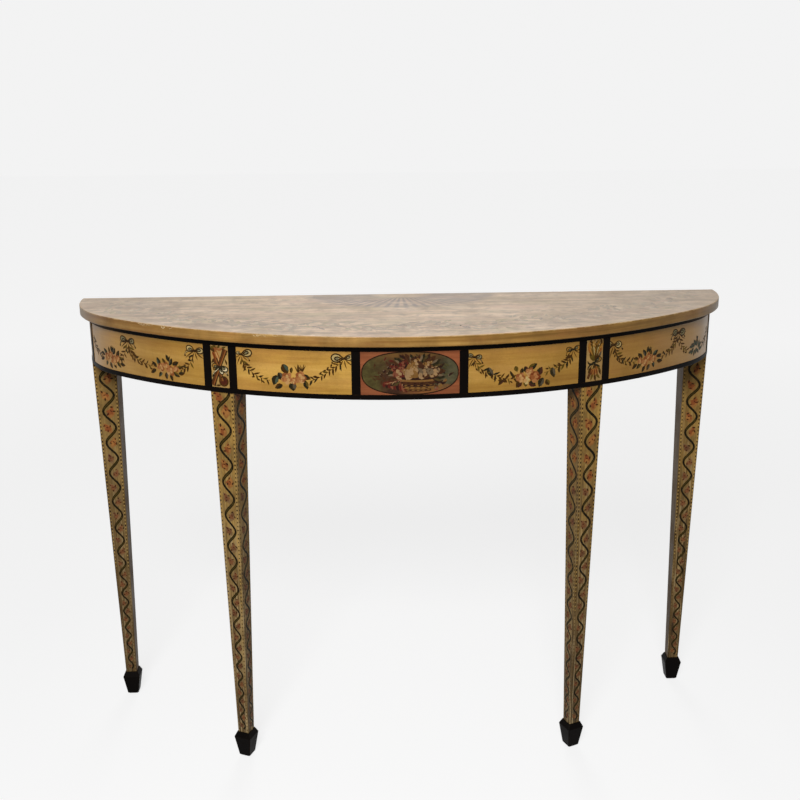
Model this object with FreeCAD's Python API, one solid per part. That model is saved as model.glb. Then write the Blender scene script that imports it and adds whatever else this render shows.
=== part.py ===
import FreeCAD, Part
import math
import os

# Demilune table. +X runs along the straight back to the right, +Y to the back, +Z up.
# The origin lies on the floor under the middle of the top's outline. All sizes in millimetres.

# Whole table
HEIGHT = 864.0
TOP_WIDTH = 1276.0
TOP_DEPTH = 392.0
TOP_END_RADIUS = 248.0
TOP_THICKNESS = 19.0
TOP_UPPER_ARRIS = 2.0
TOP_ARRIS_CROWN = 0.3
TOP_LOWER_ARRIS = 1.2
TOP_FRONT_BOARD = 140.0
TOP_BACK_BOARD = 124.0
TOP_OVERHANG = 15.0
BACK_OVERHANG = 16.0

# Curved frieze
FRIEZE_HEIGHT = 96.0
RAIL_THICKNESS = 24.0
VENEER_THICKNESS = 1.5
BAND_PROUD = 1.2
BAND_ROUNDING = 0.8
TOP_BAND_HEIGHT = 11.0
BOTTOM_BAND_HEIGHT = 9.0
STILE_WIDTH = 15.5
TABLET_WIDTH = 170.0
DIE_WIDTH = 35.0
BACK_DIE_WIDTH = 52.0

# Legs and feet
FRONT_LEG_SPACING = 662.0
LEG_WIDTH = 46.0
LEG_ANKLE = 23.0
LEG_ARRIS = 1.0
CHEEK_THICKNESS = 11.0
FOOT_HEIGHT = 54.0
FOOT_SHOULDER_HEIGHT = 10.0
FOOT_WIDTH = 35.0
FOOT_BASE = 23.0
FOOT_TOE = 3.0
FOOT_LEDGE = 1.5
STUB_WIDTH = 13.0
STUB_LENGTH = 26.0

# Back rail, bearers, blocks and screws
BACK_RAIL_THICKNESS = 22.0
BACK_RAIL_SET_IN = 6.0
BACK_TENON_HEIGHT = 64.0
TENON_THICKNESS = 10.0
TENON_LENGTH = 18.0
BEARER_OFFSET = 175.0
BEARER_WIDTH = 46.0
BEARER_HEIGHT = 28.0
TONGUE_LENGTH = 12.0
TONGUE_HEIGHT = 15.0
LEG_BLOCK_SIZE = 18.0
LEG_BLOCK_LENGTH = 62.0
TOP_BLOCK_SIZE = 20.0
TOP_BLOCK_LENGTH = 52.0
SCREW_SHANK = 5.0
SCREW_HEAD = 9.6
SCREW_HEAD_DEPTH = 3.0
SCREW_BITE = 12.0
SCREW_END_MARGIN = 34.0

# Fits
JOINT_CLEARANCE = 0.1
GLUE_LINE = 0.3
BLIND_END_CLEARANCE = 1.0
SCREW_CLEARANCE = 0.25

# Values that follow from the sizes above
HALF_WIDTH = TOP_WIDTH / 2
BACK_Y = TOP_DEPTH / 2
FRAME_BACK_Y = BACK_Y - BACK_OVERHANG
BACK_LEG_FRONT_Y = FRAME_BACK_Y - LEG_WIDTH
BOW_RADIUS = (HALF_WIDTH**2 + TOP_DEPTH**2 - 2 * HALF_WIDTH * TOP_END_RADIUS) / (2 * (TOP_DEPTH - TOP_END_RADIUS))
BOW_CENTRE_Y = BOW_RADIUS - BACK_Y
END_CENTRE_X = HALF_WIDTH - TOP_END_RADIUS
JOIN_ANGLE = math.degrees(math.atan2(END_CENTRE_X, BOW_RADIUS - TOP_DEPTH))
TOP_UNDERSIDE = HEIGHT - TOP_THICKNESS
FRIEZE_BOTTOM = TOP_UNDERSIDE - FRIEZE_HEIGHT
COURSE_HEIGHT = FRIEZE_HEIGHT / 3
BAND_INSET = TOP_OVERHANG
VENEER_INSET = BAND_INSET + BAND_PROUD
FACING_BACK_INSET = VENEER_INSET + VENEER_THICKNESS
RAIL_INSET = FACING_BACK_INSET + GLUE_LINE
RAIL_INNER_INSET = RAIL_INSET + RAIL_THICKNESS
BLOCK_FACE_INSET = RAIL_INNER_INSET + GLUE_LINE
TENON_OUTER_INSET = RAIL_INSET + (RAIL_THICKNESS - TENON_THICKNESS) / 2
TENON_INNER_INSET = TENON_OUTER_INSET + TENON_THICKNESS
RAIL_FACE_RADIUS = BOW_RADIUS - RAIL_INSET
RAIL_END_RADIUS = TOP_END_RADIUS - RAIL_INSET
LEG_ANGLE = math.degrees(math.asin(FRONT_LEG_SPACING / 2 / RAIL_FACE_RADIUS))
DIE_HALF_ANGLE = math.degrees(DIE_WIDTH / 2 / RAIL_FACE_RADIUS)
TABLET_HALF_ANGLE = math.degrees(TABLET_WIDTH / 2 / RAIL_FACE_RADIUS)
STILE_ANGLE = math.degrees(STILE_WIDTH / RAIL_FACE_RADIUS)
END_STILE_ANGLE = math.degrees(math.acos((BACK_OVERHANG + STILE_WIDTH) / RAIL_END_RADIUS))
BACK_DIE_ANGLE = END_STILE_ANGLE - math.degrees(BACK_DIE_WIDTH / RAIL_END_RADIUS)
BACK_STILE_ANGLE = BACK_DIE_ANGLE - math.degrees(STILE_WIDTH / RAIL_END_RADIUS)
BACK_RAIL_BACK_Y = FRAME_BACK_Y - BACK_RAIL_SET_IN
BACK_RAIL_FRONT_Y = BACK_RAIL_BACK_Y - BACK_RAIL_THICKNESS
REACH = 2 * TOP_WIDTH

# Where the upright brick joints fall: a share of the way from the middle of the front to a
# front leg, then a share of the way from that leg to the end of the rail
OUTER_COURSE_JOINTS = ((0.33, 0.72), (0.12, 0.30, 0.62))
MIDDLE_COURSE_JOINTS = ((0.0, 0.52, 0.88), (0.20, 0.46))


def vec(x, y, z):
    return FreeCAD.Vector(x, y, z)


def curve_point(angle, inset, z):
    """Point on the half oval, set in from the top's edge, where its outward normal has this angle."""
    if abs(angle) <= JOIN_ANGLE:
        centre_x, centre_y, radius = 0.0, BOW_CENTRE_Y, BOW_RADIUS - inset
    else:
        centre_x = math.copysign(END_CENTRE_X, angle)
        centre_y, radius = BACK_Y, TOP_END_RADIUS - inset
    turn = math.radians(angle)
    return vec(centre_x + radius * math.sin(turn), centre_y - radius * math.cos(turn), z)


def curve_edges(inset, start, stop, z):
    """Arcs of one inset curve from a start angle to a stop angle, in either direction."""
    inside = [a for a in (-JOIN_ANGLE, JOIN_ANGLE) if min(start, stop) < a < max(start, stop)]
    stations = [start] + sorted(inside, reverse=start > stop) + [stop]
    edges = []
    for first, last in zip(stations, stations[1:]):
        points = [curve_point(angle, inset, z) for angle in (first, (first + last) / 2, last)]
        edges.append(Part.Arc(*points).toShape())
    return edges


def plan_outline(inset, z):
    """Outline of everything inside one inset curve, closed along the line of the top's back edge."""
    edges = curve_edges(inset, -90.0, 90.0, z)
    edges.append(Part.makeLine(curve_point(90.0, inset, z), curve_point(-90.0, inset, z)))
    return Part.Wire(edges)


def plan_prism(inset, bottom, top):
    return Part.Face(plan_outline(inset, bottom)).extrude(vec(0, 0, top - bottom))


def sector_outline(outer, inner, start, stop, z):
    """Outline between two insets and two normal planes."""
    edges = curve_edges(outer, start, stop, z)
    edges.append(Part.makeLine(curve_point(stop, outer, z), curve_point(stop, inner, z)))
    edges += curve_edges(inner, stop, start, z)
    edges.append(Part.makeLine(curve_point(start, inner, z), curve_point(start, outer, z)))
    return Part.Wire(edges)


def sector(outer, inner, start, stop, bottom, top):
    """Upright curved block between two insets and two normal planes."""
    return Part.Face(sector_outline(outer, inner, start, stop, bottom)).extrude(vec(0, 0, top - bottom))


def box(x0, x1, y0, y1, z0, z1):
    return Part.makeBox(x1 - x0, y1 - y0, z1 - z0, vec(x0, y0, z0))


def in_front_of(shape, y):
    """The part of a shape in front of an upright plane across the table."""
    return shape.common(box(-REACH, REACH, -REACH, y, -REACH, REACH))


def at_curve(shape, angle, inset):
    """Moves a shape made at the origin, outer face on y = 0, to its station on the curve."""
    placed = shape.copy()
    placed.rotate(vec(0, 0, 0), vec(0, 0, 1), angle)
    placed.translate(curve_point(angle, inset, 0))
    return placed


def mirrored(shape):
    return shape.mirror(vec(0, 0, 0), vec(1, 0, 0))


def both_sides(shape):
    return [shape, mirrored(shape)]


def inset_x(inset, y):
    """Half width of one inset curve at a depth that lies on the end arc."""
    radius = TOP_END_RADIUS - inset
    return END_CENTRE_X + math.sqrt(radius**2 - (BACK_Y - y) ** 2)


BACK_LEG_OUTER_X = inset_x(BAND_INSET, BACK_LEG_FRONT_Y)
BACK_LEG_INNER_X = BACK_LEG_OUTER_X - LEG_WIDTH


def eased_square(side, z):
    """Corners of a square with its four corners cut off a little, centred on the axis."""
    half = side / 2
    flat = half - LEG_ARRIS
    corners = []
    for quarter in range(4):
        turn = FreeCAD.Rotation(vec(0, 0, 1), 90 * quarter)
        corners += [turn.multVec(vec(-flat, -half, z)), turn.multVec(vec(flat, -half, z))]
    return corners


def flat_face(corners):
    return Part.Face(Part.makePolygon(corners + corners[:1]))


def tapered_block(sections):
    """Solid through a stack of eased squares, given as height and side from the bottom up."""
    rings = [eased_square(side, z) for z, side in sections]
    faces = [flat_face(rings[0]), flat_face(rings[-1])]
    for lower, upper in zip(rings, rings[1:]):
        for i in range(len(lower)):
            j = (i + 1) % len(lower)
            faces.append(flat_face([lower[i], lower[j], upper[j], upper[i]]))
    return Part.makeSolid(Part.makeShell(faces))


# Top
def top_blank():
    """Half-oval slab with its curved edge eased above and below; the back edge stays square."""
    crown = TOP_ARRIS_CROWN * TOP_UPPER_ARRIS
    profile = (
        (TOP_UNDERSIDE, TOP_LOWER_ARRIS),
        (TOP_UNDERSIDE + TOP_LOWER_ARRIS, 0.0),
        (HEIGHT - TOP_UPPER_ARRIS, 0.0),
        (HEIGHT - crown, crown),
        (HEIGHT, TOP_UPPER_ARRIS),
    )
    blank = Part.makeLoft([plan_outline(inset, z) for z, inset in profile], True, True).removeSplitter()
    for hole in top_screws(pilot=True):
        blank = blank.cut(hole)
    return blank


def top_boards():
    """The slab sawn into its three boards."""
    blank = top_blank()
    front_seam = -BACK_Y + TOP_FRONT_BOARD
    back_seam = BACK_Y - TOP_BACK_BOARD
    spans = {"front": (-REACH, front_seam), "middle": (front_seam, back_seam), "back": (back_seam, REACH)}
    return {
        "top_board_" + name: blank.common(box(-REACH, REACH, y0, y1, 0, 2 * HEIGHT))
        for name, (y0, y1) in spans.items()
    }


# Curved rail
def rail_end_angle():
    return math.degrees(math.acos((BACK_Y - BACK_LEG_FRONT_Y) / (TOP_END_RADIUS - RAIL_INNER_INSET)))


def joint_angles(shares):
    """Angles of one course's upright joints, mirrored about the middle of the front."""
    slot = math.degrees(LEG_WIDTH / 2 / (RAIL_FACE_RADIUS - RAIL_THICKNESS))
    near, far = LEG_ANGLE - slot, LEG_ANGLE + slot
    front = [share * near for share in shares[0]]
    side = [far + share * (rail_end_angle() - far) for share in shares[1]]
    right = front + side
    return sorted({angle for value in right for angle in (value, -value)})


def cheek_space():
    """What a front leg's outer cheek takes out of the rail."""
    half = LEG_WIDTH / 2 + JOINT_CLEARANCE
    depth = CHEEK_THICKNESS
    block = box(-half, half, -LEG_WIDTH, LEG_WIDTH, FRIEZE_BOTTOM, TOP_UNDERSIDE)
    ring = sector(0.0, RAIL_INSET + depth, LEG_ANGLE - JOIN_ANGLE, JOIN_ANGLE, FRIEZE_BOTTOM, TOP_UNDERSIDE)
    return at_curve(block, LEG_ANGLE, RAIL_INSET).common(ring)


def rail_tenon(clearance=0.0, end_clearance=0.0):
    """Tenon on the right end of the middle course; with clearances, the mortise for it."""
    tongue = sector(
        TENON_OUTER_INSET - clearance,
        TENON_INNER_INSET + clearance,
        JOIN_ANGLE,
        90.0,
        FRIEZE_BOTTOM + COURSE_HEIGHT - clearance,
        FRIEZE_BOTTOM + 2 * COURSE_HEIGHT + clearance,
    )
    reach = box(0, REACH, BACK_LEG_FRONT_Y, BACK_LEG_FRONT_Y + TENON_LENGTH + end_clearance, 0, HEIGHT)
    return tongue.common(reach)


def bearer_tongues(clearance=0.0):
    """The two tongues of the right bearer, as one block through both rails."""
    half = BEARER_WIDTH / 2 + clearance
    return box(
        BEARER_OFFSET - half,
        BEARER_OFFSET + half,
        -REACH,
        BACK_RAIL_FRONT_Y + TONGUE_LENGTH + clearance,
        TOP_UNDERSIDE - TONGUE_HEIGHT - clearance,
        TOP_UNDERSIDE,
    )


def bearer_seat():
    """Notch for the right bearer's tongue in the inner face of the curved rail."""
    inside = plan_prism(RAIL_INNER_INSET - TONGUE_LENGTH - JOINT_CLEARANCE, FRIEZE_BOTTOM, TOP_UNDERSIDE)
    return bearer_tongues(JOINT_CLEARANCE).common(inside)


def rail_course(index, shares):
    """One course of bricks, each its own solid."""
    bottom = FRIEZE_BOTTOM + index * COURSE_HEIGHT
    stops = [-90.0] + joint_angles(shares) + [90.0]
    spaces = both_sides(cheek_space()) + both_sides(bearer_seat())
    bricks = []
    for start, stop in zip(stops, stops[1:]):
        brick = sector(RAIL_INSET, RAIL_INNER_INSET, start, stop, bottom, bottom + COURSE_HEIGHT)
        brick = in_front_of(brick, BACK_LEG_FRONT_Y)
        if index == 1 and stop == 90.0:
            brick = brick.fuse(rail_tenon())
        if index == 1 and start == -90.0:
            brick = brick.fuse(mirrored(rail_tenon()))
        for space in spaces:
            brick = brick.cut(space)
        bricks.append(brick.removeSplitter())
    return Part.makeCompound(bricks)


# Legs and feet
def shaft_and_stub():
    """Tapered shaft with the stub for its foot, upright on the axis."""
    shaft = tapered_block([(FOOT_HEIGHT, LEG_ANKLE), (FRIEZE_BOTTOM, LEG_WIDTH)])
    half = STUB_WIDTH / 2
    return shaft.fuse(box(-half, half, -half, half, FOOT_HEIGHT - STUB_LENGTH, FOOT_HEIGHT))


def spade_foot():
    """Foot that flares down from the ankle and tapers to the floor, bored for the stub."""
    shoulder = FOOT_HEIGHT - FOOT_SHOULDER_HEIGHT
    foot = tapered_block(
        [
            (0.0, FOOT_BASE - 2 * FOOT_TOE),
            (FOOT_TOE, FOOT_BASE),
            (shoulder, FOOT_WIDTH),
            (FOOT_HEIGHT, LEG_ANKLE + 2 * FOOT_LEDGE),
        ]
    )
    half = STUB_WIDTH / 2 + JOINT_CLEARANCE
    bottom = FOOT_HEIGHT - STUB_LENGTH - BLIND_END_CLEARANCE
    return foot.cut(box(-half, half, -half, half, bottom, HEIGHT))


def on_front_leg_axis(shape):
    """Moves a shape from the axis to the right front leg."""
    moved = shape.copy()
    moved.translate(vec(0, LEG_WIDTH / 2, 0))
    return at_curve(moved, LEG_ANGLE, RAIL_INSET)


def on_back_leg_axis(shape):
    """Moves a shape from the axis to the right back leg."""
    moved = shape.copy()
    moved.translate(vec(BACK_LEG_OUTER_X - LEG_WIDTH / 2, FRAME_BACK_Y - LEG_WIDTH / 2, 0))
    return moved


def front_leg():
    """Right front leg: forked head over the rail, outer cheek shaped to the curve."""
    half = LEG_WIDTH / 2
    head = at_curve(box(-half, half, -half, LEG_WIDTH, FRIEZE_BOTTOM, TOP_UNDERSIDE), LEG_ANGLE, RAIL_INSET)
    head = head.common(plan_prism(RAIL_INSET, FRIEZE_BOTTOM, TOP_UNDERSIDE))
    slot = sector(
        RAIL_INSET + CHEEK_THICKNESS - JOINT_CLEARANCE,
        RAIL_INNER_INSET + JOINT_CLEARANCE,
        0.0,
        JOIN_ANGLE,
        FRIEZE_BOTTOM,
        TOP_UNDERSIDE,
    )
    return head.cut(slot).fuse(on_front_leg_axis(shaft_and_stub())).removeSplitter()


def back_rail_tenon(clearance=0.0, end_clearance=0.0):
    """Tenon on the right end of the back rail; with clearances, the mortise for it."""
    middle_y = (BACK_RAIL_FRONT_Y + BACK_RAIL_BACK_Y) / 2
    middle_z = FRIEZE_BOTTOM + FRIEZE_HEIGHT / 2
    half_y = TENON_THICKNESS / 2 + clearance
    half_z = BACK_TENON_HEIGHT / 2 + clearance
    return box(
        BACK_LEG_INNER_X,
        BACK_LEG_INNER_X + TENON_LENGTH + end_clearance,
        middle_y - half_y,
        middle_y + half_y,
        middle_z - half_z,
        middle_z + half_z,
    )


def back_leg():
    """Right back leg: head shaped out to the frieze's curve and mortised for two rails."""
    head = box(BACK_LEG_INNER_X, REACH, BACK_LEG_FRONT_Y, FRAME_BACK_Y, FRIEZE_BOTTOM, TOP_UNDERSIDE)
    head = head.common(plan_prism(RAIL_INSET, FRIEZE_BOTTOM, TOP_UNDERSIDE))
    head = head.cut(rail_tenon(JOINT_CLEARANCE, BLIND_END_CLEARANCE))
    head = head.cut(back_rail_tenon(JOINT_CLEARANCE, BLIND_END_CLEARANCE))
    return head.fuse(on_back_leg_axis(shaft_and_stub())).removeSplitter()


# Back rail and bearers
def back_rail():
    rail = box(
        -BACK_LEG_INNER_X, BACK_LEG_INNER_X, BACK_RAIL_FRONT_Y, BACK_RAIL_BACK_Y, FRIEZE_BOTTOM, TOP_UNDERSIDE
    )
    for tenon in both_sides(back_rail_tenon()):
        rail = rail.fuse(tenon)
    for seat in both_sides(bearer_tongues(JOINT_CLEARANCE)):
        rail = rail.cut(seat)
    return rail.removeSplitter()


def bearer():
    """Right bearer: its body meets both rails square, its tongues lie in their notches."""
    half = BEARER_WIDTH / 2
    bottom = TOP_UNDERSIDE - BEARER_HEIGHT
    body = box(BEARER_OFFSET - half, BEARER_OFFSET + half, -REACH, BACK_RAIL_FRONT_Y, bottom, TOP_UNDERSIDE)
    body = body.common(plan_prism(BLOCK_FACE_INSET, bottom, TOP_UNDERSIDE))
    tongues = bearer_tongues().common(plan_prism(RAIL_INNER_INSET - TONGUE_LENGTH, bottom, TOP_UNDERSIDE))
    whole = body.fuse(tongues).removeSplitter()
    for hole in bearer_screw_holes():
        whole = whole.cut(hole)
    return whole


# Screws
def screw_depths():
    """Distances from the front at which the screws of one bearer stand."""
    turn = math.asin(BEARER_OFFSET / (BOW_RADIUS - RAIL_INNER_INSET))
    front = BOW_CENTRE_Y - (BOW_RADIUS - RAIL_INNER_INSET) * math.cos(turn) + SCREW_END_MARGIN
    back = BACK_RAIL_FRONT_Y - SCREW_END_MARGIN
    return [front, (front + back) / 2, back]


def screw(shank, head, tip):
    """Countersunk screw pointing up, its head flush with the bearer's underside."""
    bottom = TOP_UNDERSIDE - BEARER_HEIGHT
    cone = Part.makeCone(head / 2, shank / 2, SCREW_HEAD_DEPTH, vec(0, 0, bottom))
    straight = tip - bottom - SCREW_HEAD_DEPTH
    return cone.fuse(Part.makeCylinder(shank / 2, straight, vec(0, 0, bottom + SCREW_HEAD_DEPTH)))


def place_screws(shape):
    placed = []
    for y in screw_depths():
        moved = shape.copy()
        moved.translate(vec(BEARER_OFFSET, y, 0))
        placed.append(moved)
    return placed


def bearer_screw_holes():
    gap = 2 * SCREW_CLEARANCE
    return place_screws(screw(SCREW_SHANK + gap, SCREW_HEAD + gap, HEIGHT))


def top_screws(pilot=False):
    """All screws; as pilot holes they are a little wider and deeper."""
    gap = 2 * SCREW_CLEARANCE if pilot else 0.0
    deeper = BLIND_END_CLEARANCE if pilot else 0.0
    tip = TOP_UNDERSIDE + SCREW_BITE + deeper
    right = place_screws(screw(SCREW_SHANK + gap, SCREW_HEAD + gap, tip))
    return right + [mirrored(s) for s in right]


# Glue blocks
def leg_blocks():
    """Upright blocks in the corners between the legs and the rails."""
    size = LEG_BLOCK_SIZE
    bottom = FRIEZE_BOTTOM + (FRIEZE_HEIGHT - LEG_BLOCK_LENGTH) / 2
    top = bottom + LEG_BLOCK_LENGTH
    inside = plan_prism(BLOCK_FACE_INSET, bottom, top)
    blocks = []
    for near in (LEG_WIDTH / 2, -LEG_WIDTH / 2 - size):
        block = box(near, near + size, 0, RAIL_THICKNESS + size, bottom, top)
        blocks.append(at_curve(block, LEG_ANGLE, RAIL_INSET).common(inside))
    corner = BACK_LEG_INNER_X
    blocks.append(box(corner - size, corner, BACK_RAIL_FRONT_Y - size, BACK_RAIL_FRONT_Y, bottom, top))
    side_x = inset_x(RAIL_INNER_INSET, BACK_LEG_FRONT_Y) - size
    block = box(side_x, side_x + 2 * size, BACK_LEG_FRONT_Y - size, BACK_LEG_FRONT_Y, bottom, top)
    blocks.append(block.common(inside))
    return Part.makeCompound(blocks + [mirrored(b) for b in blocks])


def top_block_angles():
    """Stations of the blocks along the curved rail, between bearers, legs and ends."""
    bearer_angle = math.degrees(math.asin(BEARER_OFFSET / (BOW_RADIUS - RAIL_INNER_INSET)))
    return [(bearer_angle + LEG_ANGLE) / 2, (LEG_ANGLE + JOIN_ANGLE) / 2, (JOIN_ANGLE + rail_end_angle()) / 2]


def top_blocks():
    """Blocks under the top along the curved rail and the back rail."""
    size, half = TOP_BLOCK_SIZE, TOP_BLOCK_LENGTH / 2
    bottom = TOP_UNDERSIDE - size
    inside = plan_prism(BLOCK_FACE_INSET, bottom, TOP_UNDERSIDE)
    blank = box(-half, half, 0, RAIL_THICKNESS + size, bottom, TOP_UNDERSIDE)
    blocks = [at_curve(blank, 0.0, RAIL_INSET).common(inside)]
    for angle in top_block_angles():
        blocks += both_sides(at_curve(blank, angle, RAIL_INSET).common(inside))
    back_stations = [0.0, (BEARER_OFFSET + BACK_LEG_INNER_X) / 2]
    for x in sorted({sign * station for station in back_stations for sign in (1, -1)}):
        blocks.append(box(x - half, x + half, BACK_RAIL_FRONT_Y - size, BACK_RAIL_FRONT_Y, bottom, TOP_UNDERSIDE))
    return Part.makeCompound(blocks)


# Frieze facing
def long_band(bottom, top):
    """Band bent round the whole frieze, its outer edges eased."""
    ease = BAND_ROUNDING
    profile = (
        (bottom, BAND_INSET + ease),
        (bottom + ease, BAND_INSET),
        (top - ease, BAND_INSET),
        (top, BAND_INSET + ease),
    )
    outlines = [sector_outline(inset, FACING_BACK_INSET, -90.0, 90.0, z) for z, inset in profile]
    return in_front_of(Part.makeLoft(outlines, True, True).removeSplitter(), FRAME_BACK_Y)


def stile(start, stop):
    """Upright strip between the bands, its outer edges eased."""
    bottom = FRIEZE_BOTTOM + BOTTOM_BAND_HEIGHT
    top = TOP_UNDERSIDE - TOP_BAND_HEIGHT
    radius = BOW_RADIUS if stop <= JOIN_ANGLE else TOP_END_RADIUS
    step = math.degrees(BAND_ROUNDING / radius)
    eased = BAND_INSET + BAND_ROUNDING
    edges = curve_edges(BAND_INSET, start + step, stop - step, bottom)
    corners = [
        curve_point(stop - step, BAND_INSET, bottom),
        curve_point(stop, eased, bottom),
        curve_point(stop, FACING_BACK_INSET, bottom),
    ]
    edges += [Part.makeLine(a, b) for a, b in zip(corners, corners[1:])]
    edges += curve_edges(FACING_BACK_INSET, stop, start, bottom)
    corners = [
        curve_point(start, FACING_BACK_INSET, bottom),
        curve_point(start, eased, bottom),
        curve_point(start + step, BAND_INSET, bottom),
    ]
    edges += [Part.makeLine(a, b) for a, b in zip(corners, corners[1:])]
    return in_front_of(Part.Face(Part.Wire(edges)).extrude(vec(0, 0, top - bottom)), FRAME_BACK_Y)


def veneer(start, stop):
    bottom = FRIEZE_BOTTOM + BOTTOM_BAND_HEIGHT
    top = TOP_UNDERSIDE - TOP_BAND_HEIGHT
    return sector(VENEER_INSET, FACING_BACK_INSET, start, stop, bottom, top)


def facing():
    """Veneer panels and stiles in order from the middle of the front to the back end."""
    tablet_edge = TABLET_HALF_ANGLE
    front_start = tablet_edge + STILE_ANGLE
    die_start = LEG_ANGLE - DIE_HALF_ANGLE
    die_stop = LEG_ANGLE + DIE_HALF_ANGLE
    front_stop = die_start - STILE_ANGLE
    side_start = die_stop + STILE_ANGLE
    pieces = {"panel_tablet": veneer(-tablet_edge, tablet_edge)}
    right = {
        "panel_front": veneer(front_start, front_stop),
        "panel_die": veneer(die_start, die_stop),
        "panel_side": veneer(side_start, BACK_STILE_ANGLE),
        "panel_back_die": veneer(BACK_DIE_ANGLE, END_STILE_ANGLE),
        "stile_tablet": stile(tablet_edge, front_start),
        "stile_die_inner": stile(front_stop, die_start),
        "stile_die_outer": stile(die_stop, side_start),
        "stile_back_inner": stile(BACK_STILE_ANGLE, BACK_DIE_ANGLE),
        "stile_back_end": stile(END_STILE_ANGLE, 90.0),
    }
    for name, shape in right.items():
        pieces[name + "_right"] = shape
        pieces[name + "_left"] = mirrored(shape)
    pieces["band_top"] = long_band(TOP_UNDERSIDE - TOP_BAND_HEIGHT, TOP_UNDERSIDE)
    pieces["band_bottom"] = long_band(FRIEZE_BOTTOM, FRIEZE_BOTTOM + BOTTOM_BAND_HEIGHT)
    return pieces


def all_pieces():
    pieces = top_boards()
    pieces["frieze_bricks_lower"] = rail_course(0, OUTER_COURSE_JOINTS)
    pieces["frieze_bricks_middle"] = rail_course(1, MIDDLE_COURSE_JOINTS)
    pieces["frieze_bricks_upper"] = rail_course(2, OUTER_COURSE_JOINTS)
    pairs = {
        "leg_front": front_leg(),
        "leg_back": back_leg(),
        "foot_front": on_front_leg_axis(spade_foot()),
        "foot_back": on_back_leg_axis(spade_foot()),
        "bearer": bearer(),
    }
    for name, shape in pairs.items():
        pieces[name + "_right"] = shape
        pieces[name + "_left"] = mirrored(shape)
    pieces["back_rail"] = back_rail()
    pieces["glue_blocks_legs"] = leg_blocks()
    pieces["glue_blocks_top"] = top_blocks()
    pieces["top_screws"] = Part.makeCompound(top_screws())
    pieces.update(facing())
    return pieces


os.makedirs("parts", exist_ok=True)
for node, shape in all_pieces().items():
    shape.exportStep("parts/" + node + ".step")
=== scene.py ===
import math
import random

import bpy
from mathutils import Matrix, Vector


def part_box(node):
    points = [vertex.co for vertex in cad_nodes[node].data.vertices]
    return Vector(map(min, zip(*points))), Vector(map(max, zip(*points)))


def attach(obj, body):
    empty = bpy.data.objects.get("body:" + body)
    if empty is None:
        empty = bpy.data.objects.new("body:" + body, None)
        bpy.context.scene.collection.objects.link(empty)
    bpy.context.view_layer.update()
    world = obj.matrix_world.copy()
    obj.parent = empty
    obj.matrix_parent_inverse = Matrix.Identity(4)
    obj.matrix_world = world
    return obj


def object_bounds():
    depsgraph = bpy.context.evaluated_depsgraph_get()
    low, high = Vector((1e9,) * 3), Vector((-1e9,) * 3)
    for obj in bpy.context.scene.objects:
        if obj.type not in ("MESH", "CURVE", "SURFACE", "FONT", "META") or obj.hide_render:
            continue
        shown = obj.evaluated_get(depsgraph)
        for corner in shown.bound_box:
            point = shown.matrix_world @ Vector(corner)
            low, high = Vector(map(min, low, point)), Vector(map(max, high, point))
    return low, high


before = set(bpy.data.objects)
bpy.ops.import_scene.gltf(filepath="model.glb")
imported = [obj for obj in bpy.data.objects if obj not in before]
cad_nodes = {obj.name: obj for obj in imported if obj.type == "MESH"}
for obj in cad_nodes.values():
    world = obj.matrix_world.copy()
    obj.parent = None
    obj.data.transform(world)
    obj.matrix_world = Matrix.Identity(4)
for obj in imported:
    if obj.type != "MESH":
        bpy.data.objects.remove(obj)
cad_low, cad_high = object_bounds()

# Unit of the tables of places
MM = 0.001

# Sizes the frame was built to, in metres
TOP_END_RADIUS = 0.248
PANEL_FACE_INSET = 0.0162
RAIL_FACE_INSET = 0.0180
OVAL_HALF_WIDTH = 0.0830
OVAL_HALF_HEIGHT = 0.0375
OVAL_FULLNESS = 2.35
OVAL_TIP = 0.02
DIE_WIDTH = 0.035
STILE_WIDTH = 0.0155
LEG_HEAD_WIDTH = 0.046
LEG_ANKLE_WIDTH = 0.023
TOP_ARRIS = 0.002

# Sizes read from the frame
HALF_WIDTH = cad_high.x
BACK_Y = cad_high.y
TOP_DEPTH = cad_high.y - cad_low.y
TOP_HEIGHT = cad_high.z
FOOT_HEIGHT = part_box("foot_front_left")[1].z
FRIEZE_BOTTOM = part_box("band_bottom")[0].z
PANEL_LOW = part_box("panel_tablet")[0].z
PANEL_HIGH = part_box("panel_tablet")[1].z

# The half oval: one long bow between two tighter ends
END_CENTRE_X = HALF_WIDTH - TOP_END_RADIUS
BOW_RADIUS = HALF_WIDTH**2 + TOP_DEPTH**2 - 2 * HALF_WIDTH * TOP_END_RADIUS
BOW_RADIUS /= 2 * (TOP_DEPTH - TOP_END_RADIUS)
BOW_CENTRE_Y = BOW_RADIUS - BACK_Y
JOIN_ANGLE = math.atan2(END_CENTRE_X, BOW_RADIUS - TOP_DEPTH)
LEG_TAPER = (LEG_HEAD_WIDTH - LEG_ANKLE_WIDTH) / (FRIEZE_BOTTOM - FOOT_HEIGHT)

# Paint films: how deep they are keyed in, how far they stand up, their steps, and their share on the top
FILM_SUNK = 0.00005
FILM_LIFT = 0.00010
FILM_LAYER = 0.00004
FILM_STEP = 0.000001
FILM_STEPS = 38
TOP_FILM = 0.2

# Faded fan on the top
FAN_HALF_WIDTH = 0.196
FAN_DEPTH = 0.147
FAN_RAYS = 29

# Faded border of the top, paled by painted sheen: how far in it runs, its waves, its leaves and roses, and a
# nick in the paint
BORDER_INSET = 0.080
BORDER_WAVE = 0.016
BORDER_WAVES = 31
BORDER_SPREAD = 0.034
BORDER_PITCH = 0.0085
BORDER_END_GAP = 0.05
BORDER_ROSE_EVERY = 9
NICK_PLACE = (0.101, 0.076)

# Where the paint is chipped off the arris of the top, measured along it from the middle
CHIP_PLACES = (-0.512, -0.505, -0.498, -0.490, -0.458, -0.443, -0.272, -0.266, -0.259, -0.252, -0.236)

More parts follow.
